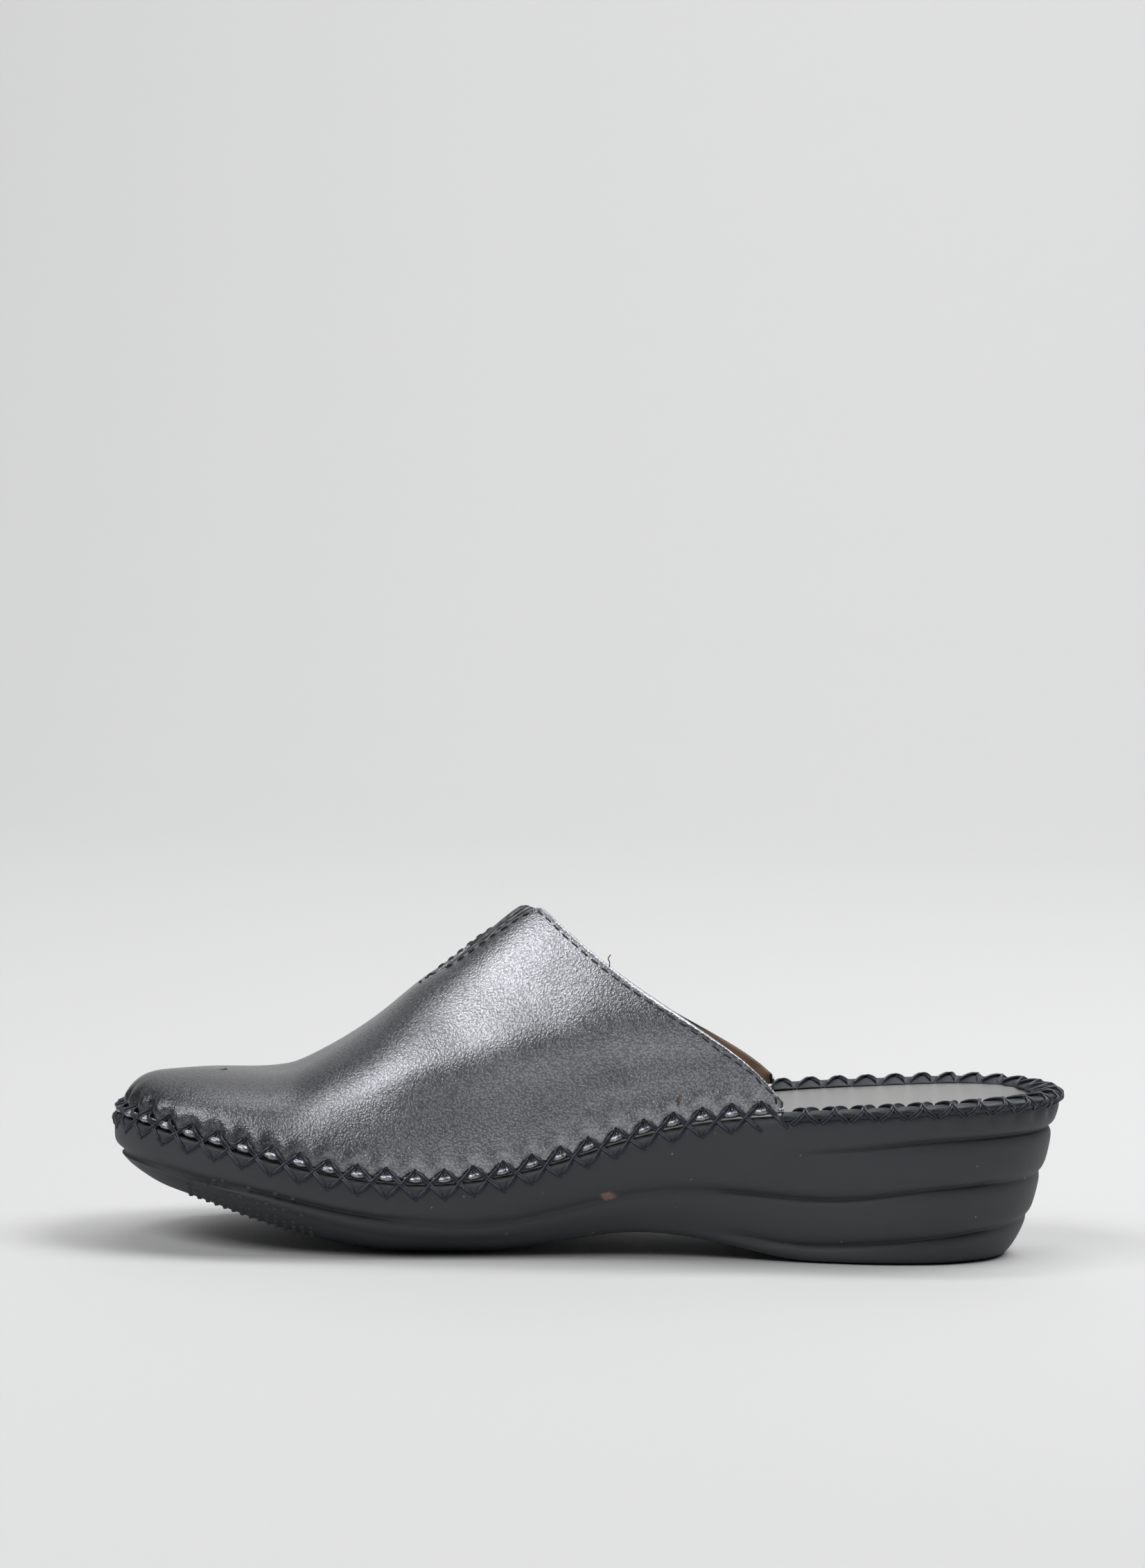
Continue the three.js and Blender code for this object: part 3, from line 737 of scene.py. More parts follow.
# %% Stitch places
STITCH_PITCH = 8.0 * MM
FIRST_HOLE_X = -46.0 * MM
STITCHES = round(RIM_LENGTH / STITCH_PITCH)
pitch = RIM_LENGTH / STITCHES
inner_side = [i for i in range(RIM_STEPS) if rim[i][1] < 0]
first_index = min(inner_side, key=lambda i: abs(rim[i][0] - FIRST_HOLE_X))
first_place = first_index / RIM_STEPS * RIM_LENGTH
COLLAR_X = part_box("upper")[1].x
print(STITCHES, "stitches, pitch", round(pitch / MM, 2), "mm; collar ends at", round(COLLAR_X / MM, 1))


def stitch_wave(place):
    """1 at a hole and -1 halfway to the next one."""
    return math.cos(2 * math.pi * (place - first_place) / pitch)


def bell(distance, width):
    """1 at no distance, fading to nothing over about three widths."""
    return math.exp(-0.5 * (distance / width) ** 2)


# %% [markdown]
# ## The upper
#
# The upper is one folded sheet of leather, lined inside. Its three surfaces get their own finish:
# the outer face, the lining and the narrow cut edge. A face belongs to one of them by how far its
# normal turns away from the middle of the foot, and the cut edge is known by having no second skin
# close behind it.

# %% Sort the upper's faces
upper = merged_copy("upper", "leather_upper", 0.25 * MM)
STRAY_REACH = 1.2 * MM


def lay_back_stray_points(piece):
    """A point that stands off a flat ring of three neighbours is laid among them."""
    mesh = bmesh.new()
    mesh.from_mesh(piece.data)
    laid = 0
    for vert in mesh.verts:
        near = [edge.other_vert(vert) for edge in vert.link_edges]
        if len(near) != 3:
            continue
        middle = sum((v.co for v in near), Vector()) / 3
        flat = all(a.normal.dot(b.normal) > 0.8 for a in near for b in near)
        if flat and (vert.co - middle).length > STRAY_REACH:
            vert.co = middle
            laid += 1
    mesh.to_mesh(piece.data)
    mesh.free()
    return laid


print("stray points laid back:", lay_back_stray_points(upper))
OUTER, LINING, EDGE = 0, 1, 2
FOOT_HEIGHT = 34 * MM
TOE_CORE = -92 * MM


def away_from_foot(point):
    """The direction from the middle of the foot's section to a point."""
    middle_y = -4 * MM
    core = Vector((max(point.x, TOE_CORE), middle_y, FOOT_HEIGHT))
    return (point - core).normalized()


THICKEST_WALL = 2.8 * MM


def sort_faces(piece):
    """A face of the skins has the other skin close behind it, and a cut edge hasn't."""
    skin = BVHTree.FromPolygons(
        [v.co for v in piece.data.vertices], [p.vertices for p in piece.data.polygons]
    )
    counts = [0, 0, 0]
    for face in piece.data.polygons:
        start = face.center - face.normal * 0.2 * MM
        _, _, _, depth = skin.ray_cast(start, -face.normal, 20 * MM)
        if depth is None or depth > THICKEST_WALL:
            kind = EDGE
        else:
            kind = OUTER if face.normal.dot(away_from_foot(face.center)) > 0 else LINING
        face.material_index = kind
        counts[kind] += 1
    return counts


for material in (pewter_leather, lining_leather, pewter_leather, painted_edge):
    upper.data.materials.append(material)
print("outer, lining and edge faces:", sort_faces(upper))

# %% [markdown]
# The edge line of the outer face, from the collar's end on the inner side up to the V, round it and
# down the other side, is read now. The thread of the topline stitch runs beside it.

# %% Read the edge line


def edge_line(piece):
    """The points between the outer face and the cut edge above the rim, in order."""
    mesh = bmesh.new()
    mesh.from_mesh(piece.data)
    links = {}
    for edge in mesh.edges:
        kinds = sorted(face.material_index for face in edge.link_faces)
        if kinds != [OUTER, EDGE]:
            continue
        a, b = edge.verts
        low = [v.co.z - rim_at(rim_place(v.co))[0].z < 1.2 * MM for v in (a, b)]
        if all(low):
            continue
        links.setdefault(a.index, []).append(b.index)
        links.setdefault(b.index, []).append(a.index)
    mesh.verts.ensure_lookup_table()
    places = {i: mesh.verts[i].co.copy() for i in links}
    mesh.free()
    ends = [i for i in links if len(links[i]) == 1]
    start = min(ends, key=lambda i: places[i].y)
    walk = [start]
    while True:
        onward = [i for i in links[walk[-1]] if i not in walk]
        if not onward:
            break
        walk.append(onward[0])
    return [places[i] for i in walk]


topline = edge_line(upper)
print("edge line:", len(topline), "points from", topline[0], "to", topline[-1])

# %% [markdown]
# The leather gives a little: on the inner side the collar stands up a bit more than on the outer
# side, so from the inner side it hides the other one. The turned edge of the outer side is painted
# dark.

# %% Ease the collar
COLLAR_RISE = 1.7 * MM
COLLAR_SINK = 0.5 * MM
COLLAR_REACH = 8 * MM
FAR_EDGE = 3


def ease_collar(piece, line):
    peak = max(line, key=lambda p: p.z)
    collar = [p for p in line if p.x > peak.x]
    tree = KDTree(len(collar))
    for index, point in enumerate(collar):
        tree.insert(point, index)
    tree.balance()
    for vert in piece.data.vertices:
        _, _, distance = tree.find(vert.co)
        height = vert.co.z - rim_at(rim_place(vert.co))[0].z
        share = bell(distance, COLLAR_REACH) * min(1, max(0, height / (14 * MM)))
        side = max(-1, min(1, -vert.co.y / (14 * MM)))
        rise = COLLAR_RISE * side if side > 0 else COLLAR_SINK * side
        vert.co += Vector((0.7, 0, 0.7)) * rise * share


V_SHIFT = 2.0 * MM
V_REACH = 7 * MM
V_AWAY = Vector((0.36, -0.8, -0.48))


def widen_v(piece, line):
    """The V's edge on the inner side lies a bit lower, so the elastic shows above it."""
    peak = max(line, key=lambda p: p.z)
    tip = min(line, key=lambda p: p.x)
    near = [p for p in line if p.x < peak.x and p.y <= tip.y + 0.2 * MM]
    tree = KDTree(len(near))
    for index, point in enumerate(near):
        tree.insert(point, index)
    tree.balance()
    for vert in piece.data.vertices:
        found, _, distance = tree.find(vert.co)
        from_tip = (found.x - tip.x) / (9 * MM)
        from_peak = (peak.x - found.x) / (9 * MM)
        share = bell(distance, V_REACH) * max(0, min(1, from_tip, from_peak))
        vert.co += V_AWAY * V_SHIFT * share
    return peak, tip


ease_collar(upper, topline)
v_peak, v_tip = widen_v(upper, topline)
topline = edge_line(upper)
for face in upper.data.polygons:
    if face.material_index == EDGE and face.center.y > 0:
        face.material_index = FAR_EDGE
print("painted edge faces:", sum(p.material_index == FAR_EDGE for p in upper.data.polygons))

# %% [markdown]
# ## Puffs and creases of the upper
#
# The cord pulls the leather down at each hole, so the leather dips there and puffs up between two
# holes, and small folds fan out above each hole. These are soft moves of the points near the rim.
# Larger creases are listed one by one, as the leather bends across the ball.

# %% Shape the leather
HOLE_HEIGHT = 3.7 * MM  # of the upper holes above the rim
DIP_DEPTH = 0.85 * MM
DIP_WIDTH = 1.3 * MM
PUFF_HEIGHT = 4.2 * MM
PUFF_RISE = 0.5 * MM
FOLD_LENGTH = 6.0 * MM
FOLD_DEPTH = 0.28 * MM


# Along the toe box: X, height of its shoulder, how far the leather stands out there, and how wide.
SHOULDER = [
    (-130, 39, 0.4, 4.0),
    (-115, 42, 1.8, 4.0),
    (-90, 44, 2.6, 4.5),
    (-70, 48, 2.8, 5.5),
    (-50, 53, 2.8, 6.5),
    (-30, 56, 2.4, 7.0),
    (-10, 60, 1.8, 8.0),
    (10, 64, 1.2, 8.0),
    (30, 66, 0.5, 8.0),
    (45, 66, 0.0, 8.0),
]
SHOULDER_X, SHOULDER_Z, SHOULDER_PUSH, SHOULDER_SPREAD = np.array(SHOULDER).T * MM


def shoulder_move(point, away):
    """The toe box's shoulder stands out, so its top is flat and its side steep."""
    x, z = point.x, point.z
    push = np.interp(x, SHOULDER_X, SHOULDER_PUSH)
    spread = np.interp(x, SHOULDER_X, SHOULDER_SPREAD)
    level = Vector((away.x, away.y, 0))
    return level * float(push * bell(z - np.interp(x, SHOULDER_X, SHOULDER_Z), spread))


def seam_move(place, height):
    """How far the leather moves out, at a distance along the rim and a height above it."""
    wave = stitch_wave(place)
    from_hole = (math.acos(max(-1, min(1, wave))) / (2 * math.pi)) * pitch
    dip = DIP_DEPTH * bell(from_hole, DIP_WIDTH) * bell(height - HOLE_HEIGHT, DIP_WIDTH)
    puff = PUFF_RISE * bell(height - PUFF_HEIGHT, 1.8 * MM) * (0.5 - 0.5 * wave)
    fading = max(0, 1 - abs(height - HOLE_HEIGHT) / FOLD_LENGTH)
    fold = FOLD_DEPTH * fading * bell(from_hole, 0.9 * MM)
    return puff - dip - fold


# Creases and hollows of the inner side, listed one by one. Each is a line from one X and Z to
# another, with its width and its depth.
CREASES = [
    (-48, 71, -29, 54, 3.5, 0.3),
    (-31, 78, -12, 67, 4.5, 0.5),
    (-11, 48, 8, 54, 5.0, 0.4),
    (10, 54, 36, 56, 4.0, 0.6),
    (-80, 40, -56, 31, 4.0, 0.3),
    (-98, 36, -82, 33, 3.0, 0.2),
    (0, 41, 38, 49, 1.1, 0.22),
    (4, 44, 40, 52, 1.2, 0.2),
    (-20, 60, 0, 72, 5.0, -0.3),
]
TOE_TIP_X = -123 * MM
TOE_TIP_LIFT = 1.2 * MM


def crease_move(x, z):
    """How deep the creases are at a place of the inner side."""
    total = 0
    for x0, z0, x1, z1, width, depth in np.array(CREASES) * MM:
        run = max(0, min(1, ((x - x0) * (x1 - x0) + (z - z0) * (z1 - z0)) / ((x1 - x0) ** 2 + (z1 - z0) ** 2)))
        away = math.hypot(x - x0 - run * (x1 - x0), z - z0 - run * (z1 - z0))
        total += depth * bell(away, width)
    return total


def toe_tip_lift(point, height):
    """The very front of the toe box stands a little taller."""
    share = min(1, max(0, height / (8 * MM)))
    return Vector((0, 0, TOE_TIP_LIFT * share * bell(point.x - TOE_TIP_X, 5 * MM)))


def shape_upper(piece):
    moved = 0
    inside = {i for p in piece.data.polygons if p.material_index == LINING for i in p.vertices}
    away = [v.normal * (-1 if v.index in inside else 1) for v in piece.data.vertices]
    for vert, direction in zip(piece.data.vertices, away):
        place = rim_place(vert.co)
        point, outward = rim_at(place)
        height = vert.co.z - point.z
        move = shoulder_move(vert.co, direction) + toe_tip_lift(vert.co, height)
        if vert.co.y < -8 * MM:
            fade = min(1, (-8 * MM - vert.co.y) / (10 * MM))
            move -= outward * float(crease_move(vert.co.x, vert.co.z)) * fade
        if height < 16 * MM:
            move += outward * seam_move(place, height)
        vert.co += move
        moved += move.length > 0.01 * MM
    return moved


smooth(upper, 2)
print("points moved beside the seam:", shape_upper(upper))
finish_piece(upper, "upper")


def surface_of(*pieces, kind=None):
    """The faces of some pieces, or those of one kind, as a tree for rays and nearest points."""
    verts, faces = [], []
    for piece in pieces:
        start = len(verts)
        verts.extend(v.co.copy() for v in piece.data.vertices)
        chosen = [p for p in piece.data.polygons if kind is None or p.material_index == kind]
        faces.extend([start + i for i in p.vertices] for p in chosen)
    return BVHTree.FromPolygons(verts, faces)


# %% [markdown]
# Round the back of the heel the cords pull the foam in at each hole, so it swells between them. Under
# the sprung toe, where the sole is off the floor, the small studs of the tread stand out.

# %% Swells and tread
SWELL_DEPTH = 0.5 * MM
SWELL_HEIGHT = -3.4 * MM
SWELL_START_X = 60 * MM
SWELL_FULL_X = 105 * MM
STUD_PITCH = 2.4 * MM
STUD_WIDTH = 1.3 * MM
STUD_HEIGHT = 0.4 * MM


def swell_heel(piece):
    for vert in piece.data.vertices:
        if vert.co.x < SWELL_START_X:
            continue
        place = rim_place(vert.co)
        point, outward = rim_at(place)
        fade = min(1, (vert.co.x - SWELL_START_X) / (SWELL_FULL_X - SWELL_START_X))
        level = bell(vert.co.z - point.z - SWELL_HEIGHT, 1.7 * MM)
        vert.co -= outward * SWELL_DEPTH * stitch_wave(place) * fade * level


swell_heel(sole)
under_sole = surface_of(sole)


def tread_studs(name, x_start, x_end, y_reach):
    """Small square studs that hang from the sole, set in rows."""
    verts, faces = [], []
    for row, x in enumerate(np.arange(x_start, x_end, STUD_PITCH)):
        for y in np.arange(-y_reach, y_reach, STUD_PITCH) + (row % 2) * STUD_PITCH / 2:
            hit, normal, _, _ = under_sole.ray_cast(Vector((x, y, -0.01)), Vector((0, 0, 1)))
            if hit is None or hit.z < 1.6 * MM or abs(normal.z) < 0.75:
                continue
            first = len(verts)
            for z, half in ((hit.z - STUD_HEIGHT, 0.35), (hit.z + 0.5 * MM, 0.5)):
                for dx, dy in ((-1, -1), (1, -1), (1, 1), (-1, 1)):
                    verts.append((x + dx * half * STUD_WIDTH, y + dy * half * STUD_WIDTH, z))
            sides = [(first + k, first + (k + 1) % 4, first + 4 + (k + 1) % 4, first + 4 + k) for k in range(4)]
            faces.extend(sides)
            faces.append((first + 3, first + 2, first + 1, first))
            faces.append((first + 4, first + 5, first + 6, first + 7))
    mesh = bpy.data.meshes.new(name)
    mesh.from_pydata(verts, [], faces)
    piece = bpy.data.objects.new(name, mesh)
    bpy.context.collection.objects.link(piece)
    piece.data.materials.append(foam)
    return piece


tread = tread_studs("toe_tread_studs", -108 * MM, -72 * MM, 45 * MM)
finish_piece(tread, None)

# %% [markdown]
# ## Swept pieces
#
# The hem and the heel's roll both follow the rim with a section that swells and narrows with the
# stitches. A row of section points is placed at each step along the rim, neighbouring rows are
# joined with squares, and both ends are closed.

# %% Sweep a section along the rim


def sweep(name, start, end, step, section):
    """A closed body: section(place) gives its points as pairs of inset from the rim and height."""
    steps = max(2, int(round((end - start) / step)))
    verts, faces = [], []
    for i in range(steps + 1):
        place = start + (end - start) * i / steps
        point, outward = rim_at(place)
        ring = section(place)
        for inset, height in ring:
            verts.append(point - outward * inset + Vector((0, 0, height)))
    count = len(ring)
    for i in range(steps):
        for j in range(count):
            k = (j + 1) % count
            faces.append((i * count + j, i * count + k, (i + 1) * count + k, (i + 1) * count + j))
    faces.append(tuple(range(count)))
    faces.append(tuple(steps * count + j for j in reversed(range(count))))
    mesh = bpy.data.meshes.new(name)
    mesh.from_pydata([tuple(v) for v in verts], [], faces)
    piece = bpy.data.objects.new(name, mesh)
    bpy.context.collection.objects.link(piece)
    choose(piece)
    bpy.ops.object.mode_set(mode="EDIT")
    bpy.ops.mesh.select_all(action="SELECT")
    bpy.ops.mesh.normals_make_consistent(inside=False)
    bpy.ops.object.mode_set(mode="OBJECT")
    bpy.ops.object.shade_smooth()
    return piece


inner_end = min(inner_side, key=lambda i: abs(rim[i][0] - COLLAR_X)) / RIM_STEPS * RIM_LENGTH
outer_side = [i for i in range(RIM_STEPS) if rim[i][1] > 0]
outer_end = min(outer_side, key=lambda i: abs(rim[i][0] - COLLAR_X)) / RIM_STEPS * RIM_LENGTH
print("collar ends along the rim at", round(inner_end / MM), "and", round(outer_end / MM), "mm")

# %% [markdown]
# ## The hem
#
# Below its holes the leather is folded under. Between two crossings of the cord the fold swells out
# as a small shining lens, and under each crossing it is squeezed flat.

# %% Hem of the upper
HEM_CENTRE_INSET = 1.7 * MM
HEM_CENTRE_HEIGHT = 1.35 * MM
HEM_POINTS = 12


def hem_section(place):
    swell = (0.5 + 0.5 * stitch_wave(place)) ** 0.85
    reach = (-0.1 + 2.0 * swell) * MM
    half_height = (0.6 + 0.55 * swell) * MM
    ring = []
    for i in range(HEM_POINTS):
        angle = 2 * math.pi * i / HEM_POINTS
        out = math.cos(angle) * (reach if math.cos(angle) > 0 else 0.8 * MM)
        ring.append((HEM_CENTRE_INSET - out, HEM_CENTRE_HEIGHT + half_height * math.sin(angle)))
    return ring


def span(start, end):
    """A stretch of the rim that may pass the place where its length starts again."""
    return (start, end if end > start else end + RIM_LENGTH)


toe_span = span(outer_end, inner_end)
heel_span = span(inner_end, outer_end)
print("toe and heel stretches:", [[round(v / MM) for v in s] for s in (toe_span, heel_span)])
hem = sweep("leather_hem", *toe_span, 0.6 * MM, hem_section)
hem.data.materials.append(hem_leather)
finish_piece(hem, None)

# %% [markdown]
# ## The rolled edge round the heel
#
# Round the open heel a strip of black leather is folded over the rim and held by the same cords.
# It covers the lip, hooks down over the insole, and puffs up between the stitches.

# %% Heel roll
ROLL_POINTS = [
    (0.2, -2.3),
    (-0.5, -1.8),
    (-0.85, -0.9),
    (-0.6, 0.0),
    (0.2, 0.6),
    (1.6, 0.9),
    (3.4, 0.85),
    (5.2, 0.5),
    (6.9, 0.0),
    (8.2, -0.6),
    (7.6, -0.95),
    (6.2, -1.0),
    (4.6, -0.4),
    (2.5, 0.0),
    (0.7, -0.3),
]
ROLL_CORE = (3.0, -0.4)
ROLL_TUCK = 0.8 * MM  # how far its ends reach under the collar's ends


def roll_section(place):
    wave = stitch_wave(place)
    swell = 1.0 - 0.16 * (0.5 + 0.5 * wave)
    ring = []
    for i, (inset, height) in enumerate(ROLL_POINTS):
        grow = swell if i < 10 else 1.0
        out_inset = ROLL_CORE[0] + (inset - ROLL_CORE[0]) * grow
        out_height = ROLL_CORE[1] + (height - ROLL_CORE[1]) * grow
        ring.append((out_inset * MM, out_height * MM))
    return ring


roll = sweep("heel_rolled_edge", heel_span[0] - ROLL_TUCK, heel_span[1] + ROLL_TUCK, 0.8 * MM, roll_section)
smooth(roll, 1)
roll.data.materials.append(edge_leather)
finish_piece(roll, "heel_rim_roll")

# %% [markdown]
# ## Crossed stitches
#
# Each stitch is an X of two doubled cords. On the leather part they run from the holes in the
# upper down to holes in the sole's lip, and round the heel they climb over the roll. A ray finds the
# surface under each point of a cord, and the cord is lifted by its own radius, so it lies on what it
# holds.

# %% Routes of the cords
STRAND_RADIUS = 0.4 * MM
STRAND_GAP = 0.36 * MM
STRAND_TURNS = 0.2
LOWER_HOLE = -3.6 * MM  # below the rim
LEG_STEPS = 9
COLLAR_LEAN = 4.5 * MM  # how far the collar leans forward between the rim and the upper holes
covered = surface_of(sole, upper, hem, roll)


def front_point(place, height, lift):
    """On the outside of the slipper at a distance along the rim and a height above it."""
    point, outward = rim_at(place)
    start = point + outward * 15 * MM + Vector((0, 0, height))
    hit, _, _, _ = covered.ray_cast(start, -outward, 25 * MM)
    if hit is None:
        hit = point + Vector((0, 0, height))
    reach = (hit - point).dot(outward) + lift
    return reach, point, outward


def front_leg(start, end):
    """From (place, height) to (place, height), taut over whatever stands out between them."""
    samples = []
    for i in range(LEG_STEPS + 1):
        share = i / LEG_STEPS
        place = start[0] + (end[0] - start[0]) * share
        height = start[1] + (end[1] - start[1]) * share
        reach, point, outward = front_point(place, height, STRAND_RADIUS * 0.9)
        samples.append([share, height, reach, point, outward])
    low, high = samples[0][2], samples[-1][2]
    route = []
    for share, height, reach, point, outward in samples:
        straight = low + (high - low) * share
        taut = max(reach, straight)
        tuck = 1.6 * MM if share in (0, 1) else 0
        route.append(point + outward * (taut - tuck) + Vector((0, 0, height)))
    return route


ROLL_HOLE = -2.8 * MM  # height of the holes below the roll
ROLL_TOP = 0.5 * MM  # height where its side turns into its top
ROLL_SHOULDER = 0.7 * MM  # inset of the same place
ROLL_INNER = 7.9 * MM
ROLL_LEG_STEPS = 14


def roll_leg(start_place, end_place):
    """Straight up the outer side of the roll, over its top and down to the insole's edge."""
    route = []
    for i in range(ROLL_LEG_STEPS + 1):
        share = i / ROLL_LEG_STEPS
        point, outward = rim_at(start_place + (end_place - start_place) * share)
        if share < 0.5:
            height = ROLL_HOLE + (ROLL_TOP - ROLL_HOLE) * share * 2
            start = point + outward * 12 * MM + Vector((0, 0, height))
            ray = -outward
        else:
            inset = ROLL_SHOULDER + (ROLL_INNER - ROLL_SHOULDER) * (share * 2 - 1)
            start = point - outward * inset + Vector((0, 0, 12 * MM))
            ray = Vector((0, 0, -1))
        hit, _, _, _ = covered.ray_cast(start, ray, 20 * MM)
        lift = STRAND_RADIUS * 0.9 if 0 < i < ROLL_LEG_STEPS else -1.0 * MM
        route.append(hit - ray * lift)
    return route


def strand_pair(route):
    """Two strands that wind slowly round each other along a route."""
    strands = [[], []]
    for i, point in enumerate(route):
        ahead = route[min(i + 1, len(route) - 1)]
        behind = route[max(i - 1, 0)]
        along = (ahead - behind).normalized()
        _, outward = rim_at(rim_place(point))
        side = along.cross(outward).normalized()
        up = side.cross(along).normalized()
        angle = 2 * math.pi * STRAND_TURNS * i / (len(route) - 1)
        offset = (side * math.cos(angle) + up * 0.5 * math.sin(angle)) * STRAND_GAP
        strands[0].append(point + offset)
        strands[1].append(point - offset)
    return strands


# %% Cords as meshes


def cord_piece(name, routes, radius, material, sides=3):
    """Smooth round cords along routes, made as one bevelled curve and then turned into a mesh."""
    curve = bpy.data.curves.new(name, "CURVE")
    curve.dimensions = "3D"
    curve.bevel_depth = radius
    curve.bevel_resolution = sides - 2
    curve.use_fill_caps = True
    curve.resolution_u = 2
    for route in routes:
        spline = curve.splines.new("NURBS")
        spline.points.add(len(route) - 1)
        for target, point in zip(spline.points, route):
            target.co = (*point, 1.0)
        spline.order_u = 3
        spline.use_endpoint_u = True
    piece = bpy.data.objects.new(name, curve)
    bpy.context.collection.objects.link(piece)
    choose(piece)
    bpy.ops.object.convert(target="MESH")
    piece = bpy.context.object
    piece.data.materials.clear()
    piece.data.materials.append(material)
    bpy.ops.object.shade_smooth()
    return piece


def stitch_routes():
    front, heel = [], []
    for i in range(STITCHES):
        first = first_place + i * pitch
        second = first + pitch
        on_leather = [rim_at(place)[0].x < COLLAR_X - COLLAR_LEAN for place in (first, second)]
        if on_leather[0]:
            front.append(front_leg((first, HOLE_HEIGHT), (second, LOWER_HOLE)))
        if on_leather[1]:
            front.append(front_leg((second, HOLE_HEIGHT), (first, LOWER_HOLE)))
        if not any(on_leather):
            heel.append(roll_leg(first, second))
            heel.append(roll_leg(second, first))
    return front, heel


front_routes, heel_routes = stitch_routes()
print(len(front_routes), "cord legs on the upper,", len(heel_routes), "over the roll")
for name, routes in (("upper_cross_stitches", front_routes), ("heel_cross_stitches", heel_routes)):
    strands = [strand for route in routes for strand in strand_pair(route)]
    cords = cord_piece(name, strands, STRAND_RADIUS, waxed_cord)
    finish_piece(cords, None)

# %% [markdown]
# Where a cord goes in, the hole looks dark. A short thick dark plug at each end of each leg is partly
# the cord's own end and partly painted shade of the hole.

# %% Plugs in the stitch holes
HOLE_SHADE_RADIUS = 0.6 * MM
HOLE_SHADE_LIFT = 0.25 * MM


def hole_shade_route(place, height):
    reach, point, outward = front_point(place, height, HOLE_SHADE_LIFT)
    middle = point + Vector((0, 0, height))
    return [middle + outward * (reach - share * 1.5 * MM) for share in (0, 0.5, 1)]


hole_shade_routes = []
for i in range(STITCHES):
    place = first_place + i * pitch
    if rim_at(place)[0].x < COLLAR_X - COLLAR_LEAN:
        hole_shade_routes.append(hole_shade_route(place, HOLE_HEIGHT))
        hole_shade_routes.append(hole_shade_route(place, LOWER_HOLE))
# dark plugs: painted shade in the stitch holes, together with the cords' ends
hole_shade_plugs = cord_piece("stitch_hole_shade_plugs", hole_shade_routes, HOLE_SHADE_RADIUS, black_thread)
finish_piece(hole_shade_plugs, None)

# %% [markdown]
# ## Topline stitches
#
# A black thread is sewn along the collar and the V, 3 mm from the edge. Each stitch is a short
# capsule that dips into the leather at both ends.

# %% Topline thread
TOPLINE_INSET = 2.0 * MM
STITCH_LENGTH = 2.7 * MM
STITCH_SPACING = 3.7 * MM
THREAD_RADIUS = 0.27 * MM
outer_skin = surface_of(upper, kind=OUTER)


def even_line(points, spacing):
    """Places spread evenly along an open line."""
    line = np.array([list(p) for p in points])
    lengths = np.linalg.norm(np.diff(line, axis=0), axis=1)
    along = np.concatenate([[0], np.cumsum(lengths)])
    places = np.arange(spacing, along[-1] - spacing, spacing)
    return [Vector([np.interp(s, along, line[:, k]) for k in range(3)]) for s in places]


def inset_line(points, inset):
    """The line moved into the leather's outer face by a distance along the surface."""
    moved = []
    for i, point in enumerate(points):
        ahead = points[min(i + 2, len(points) - 1)]
        behind = points[max(i - 2, 0)]
        along = (ahead - behind).normalized()
        _, normal, _, _ = outer_skin.find_nearest(point)
        into = along.cross(normal).normalized()
        hits = [outer_skin.find_nearest(point + side * inset)[0] for side in (into, -into)]
        moved.append(max(hits, key=lambda hit: (hit - point).length))
    return moved


def thread_routes(points):
    routes = []
    line = inset_line(even_line(points, STITCH_SPACING / 4), TOPLINE_INSET)
    for i in range(2, len(line) - 3, 4):
        ends = [line[i], line[min(i + 3, len(line) - 1)]]
        along = ends[1] - ends[0]
        if along.length < 0.5 * STITCH_LENGTH or along.length > 1.6 * STITCH_LENGTH:
            continue
        route = []
        for share in (0, 0.2, 0.5, 0.8, 1):
            on_line = ends[0] + along * share
            hit, normal, _, _ = outer_skin.find_nearest(on_line)
            lift = THREAD_RADIUS * (0.55 if 0 < share < 1 else -1.6)
            route.append(hit + normal * lift)
        routes.append(route)
    return routes


topline_routes = thread_routes(topline)
print(len(topline_routes), "topline stitches")
thread = cord_piece("topline_stitches", topline_routes, THREAD_RADIUS, black_thread)
finish_piece(thread, None)

# %% [markdown]
# The slipper is worn: a loose thread end stands up on the collar, and the seam's knots show at the
# tip of the V.

# %% Loose thread end and knots
LOOSE_END_X = 3 * MM
LOOSE_END_SHAPE = [(0, 0, -0.6), (0.2, 0, 0.8), (-0.5, 0, 1.5), (-0.2, 0, 2.3), (0.3, 0, 2.8)]
KNOT_STEP = 1.7 * MM
collar_line = [p for p in topline if p.x > v_peak.x and p.y < 0]
loose_start = min(collar_line, key=lambda p: abs(p.x - LOOSE_END_X))
loose_route = [loose_start + Vector(step) * MM for step in LOOSE_END_SHAPE]
loose_end = cord_piece("loose_thread_end", [loose_route], 0.16 * MM, black_thread)
finish_piece(loose_end, None)
knot_routes = []
for k in range(2):
    target = v_tip + Vector((k * KNOT_STEP, -1 * MM, k * KNOT_STEP))
    hit, normal, _, _ = outer_skin.find_nearest(target)
    knot_routes.append([hit + normal * (share * 0.9 - 0.6) * MM for share in (0, 0.5, 1)])
knots = cord_piece("seam_knots", knot_routes, 0.55 * MM, black_thread)
finish_piece(knots, None)

# %% [markdown]
# ## Elastic and insole
#
# Both are simple sheets, so the smooth copies of their solids are enough, and their finish does
# the rest.

# %% Elastic and insole
gore = smooth(merged_copy("gore", "elastic_gore"), 2)
GORE_RISE = 1.4 * MM
GORE_MIDDLE_Y = -3.5 * MM
for vert in gore.data.vertices:
    if v_tip.x < vert.co.x < v_peak.x + 4 * MM:
        vert.co.z += GORE_RISE * bell(vert.co.y - GORE_MIDDLE_Y, 5 * MM)
gore.data.materials.append(elastic)
finish_piece(gore, "gore")
insole = smooth(merged_copy("insole", "leather_insole"), 1)
insole.data.materials.append(insole_leather)
finish_piece(insole, "insole")

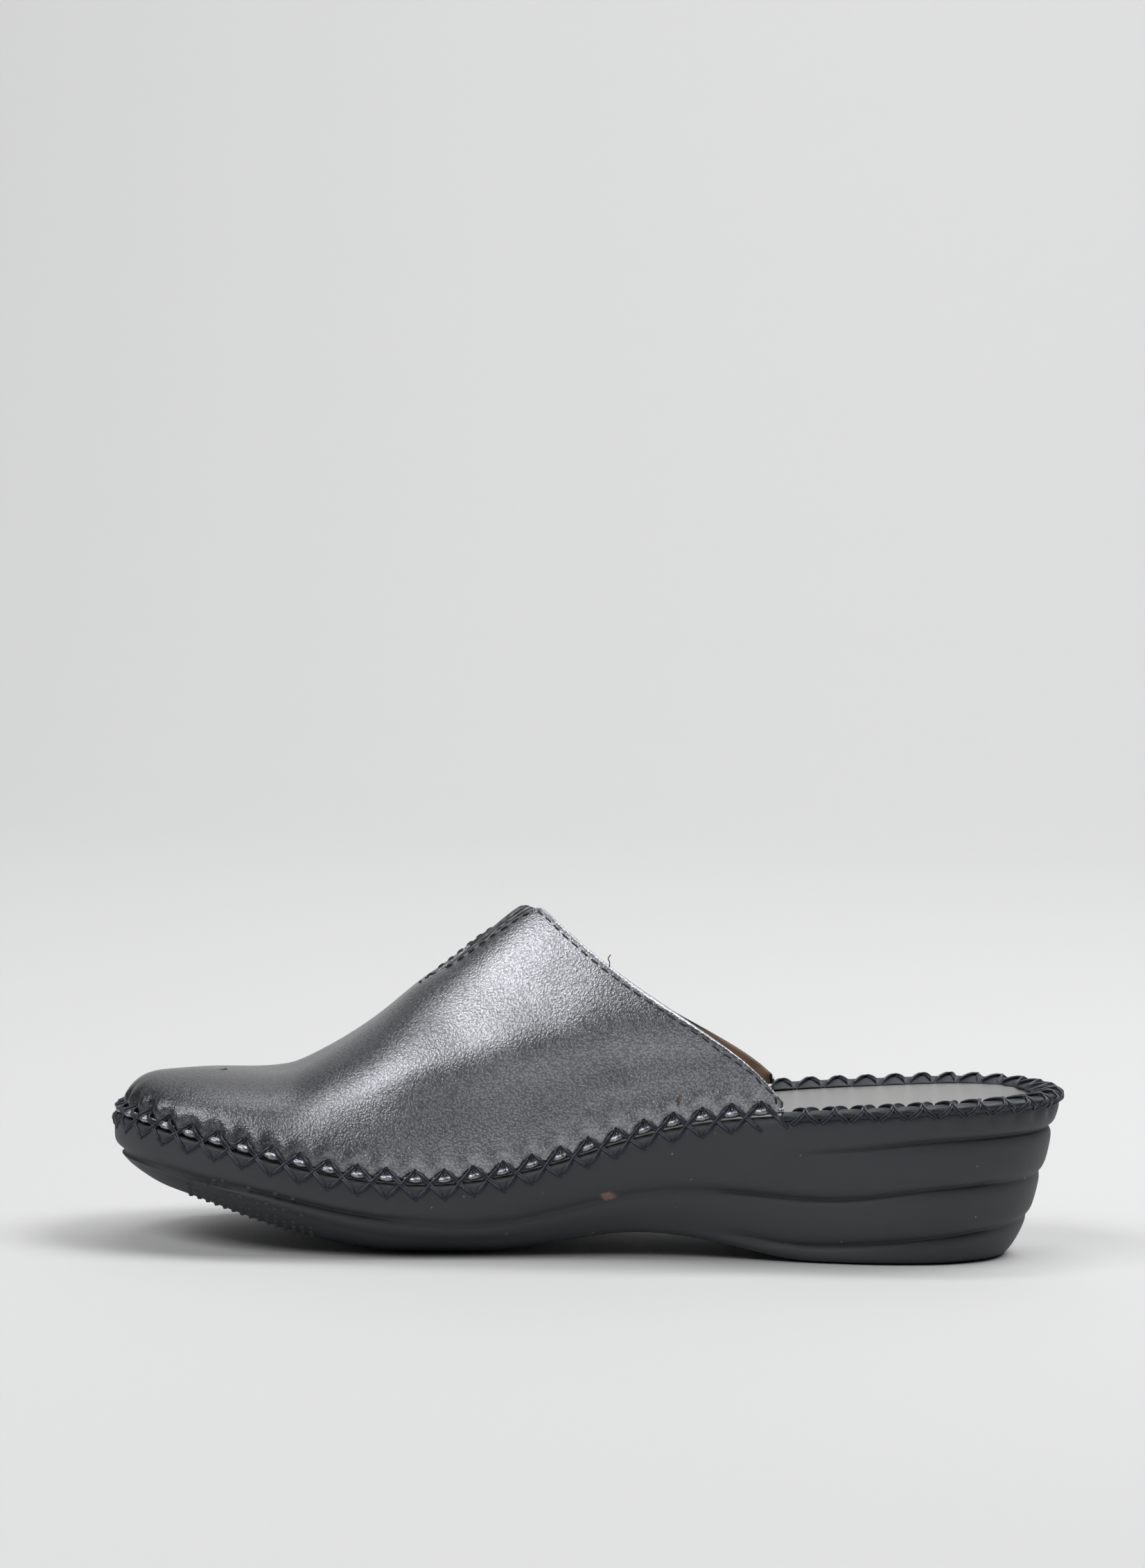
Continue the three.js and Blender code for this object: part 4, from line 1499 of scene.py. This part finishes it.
# %% [markdown]
# ## Floor and light
#
# The slipper stands on a pale sweep that rises behind it and has a low lip far in front. A wide
# softbox hangs high in front on the left and a small one on the right. Between the softbox and the
# lit lip the room is dim, which gives the foiled leather its dark band between the bright top and
# the pale foot.

# %% Sweep, lights and world
FLOOR_COLOUR = "#cfcfcf"
SWEEP_WIDTH = 6.0
FLOOR_FRONT = -2.2
LIP_HEIGHT = 0.25
WALL_Y = 2.6
WALL_TOP = 4.0
BEND_RADIUS = 1.2


def add_floor():
    profile = [(FLOOR_FRONT, LIP_HEIGHT), (FLOOR_FRONT, 0.0), (WALL_Y - BEND_RADIUS, 0.0)]
    for i in range(1, 13):
        angle = math.pi / 2 * i / 12
        y = WALL_Y - BEND_RADIUS + BEND_RADIUS * math.sin(angle)
        profile.append((y, BEND_RADIUS * (1 - math.cos(angle))))
    profile.append((WALL_Y, WALL_TOP))
    verts = [(x, y, z) for y, z in profile for x in (-SWEEP_WIDTH / 2, SWEEP_WIDTH / 2)]
    faces = [(2 * i, 2 * i + 1, 2 * i + 3, 2 * i + 2) for i in range(len(profile) - 1)]
    mesh = bpy.data.meshes.new("paper_sweep")
    mesh.from_pydata(verts, [], faces)
    floor = bpy.data.objects.new("paper_sweep", mesh)
    bpy.context.collection.objects.link(floor)
    choose(floor)
    bpy.ops.object.shade_smooth()
    material, tree, shader = new_material("matt paper", Roughness=0.9)
    shader.inputs["Base Color"].default_value = linear(FLOOR_COLOUR)
    floor.data.materials.append(material)
    return floor


def add_light(name, place, target, size, power, colour="#ffffff"):
    bpy.ops.object.light_add(type="AREA")
    light = bpy.context.object
    light.name = name
    light.data.shape = "RECTANGLE"
    light.data.size, light.data.size_y = size
    light.data.energy = power
    light.data.color = linear(colour)[:3]
    direction = Vector(target) - Vector(place)
    turn = direction.to_track_quat("-Z", "Y").to_matrix().to_4x4()
    light.matrix_world = Matrix.Translation(place) @ turn
    return light


add_floor()
add_light("front softbox", (-0.8, -0.7, 1.2), (0.0, 0.0, 0.05), (1.5, 0.75), 16)
add_light("right softbox", (0.75, 0.1, 1.2), (0.0, 0.0, 0.05), (0.7, 0.7), 12)
add_light("lip wash", (0.0, -1.6, 0.9), (0.0, -2.2, 0.05), (2.0, 0.4), 16)
add_light("wall wash", (0.5, 1.0, 2.4), (0.1, 2.4, 1.0), (2.4, 1.0), 56)
world = bpy.data.worlds.new("room")
bpy.context.scene.world = world
world.use_nodes = True
world.node_tree.nodes["Background"].inputs["Color"].default_value = linear("#d9dde0")
world.node_tree.nodes["Background"].inputs["Strength"].default_value = 0.12
bpy.context.scene.view_settings.view_transform = "Standard"
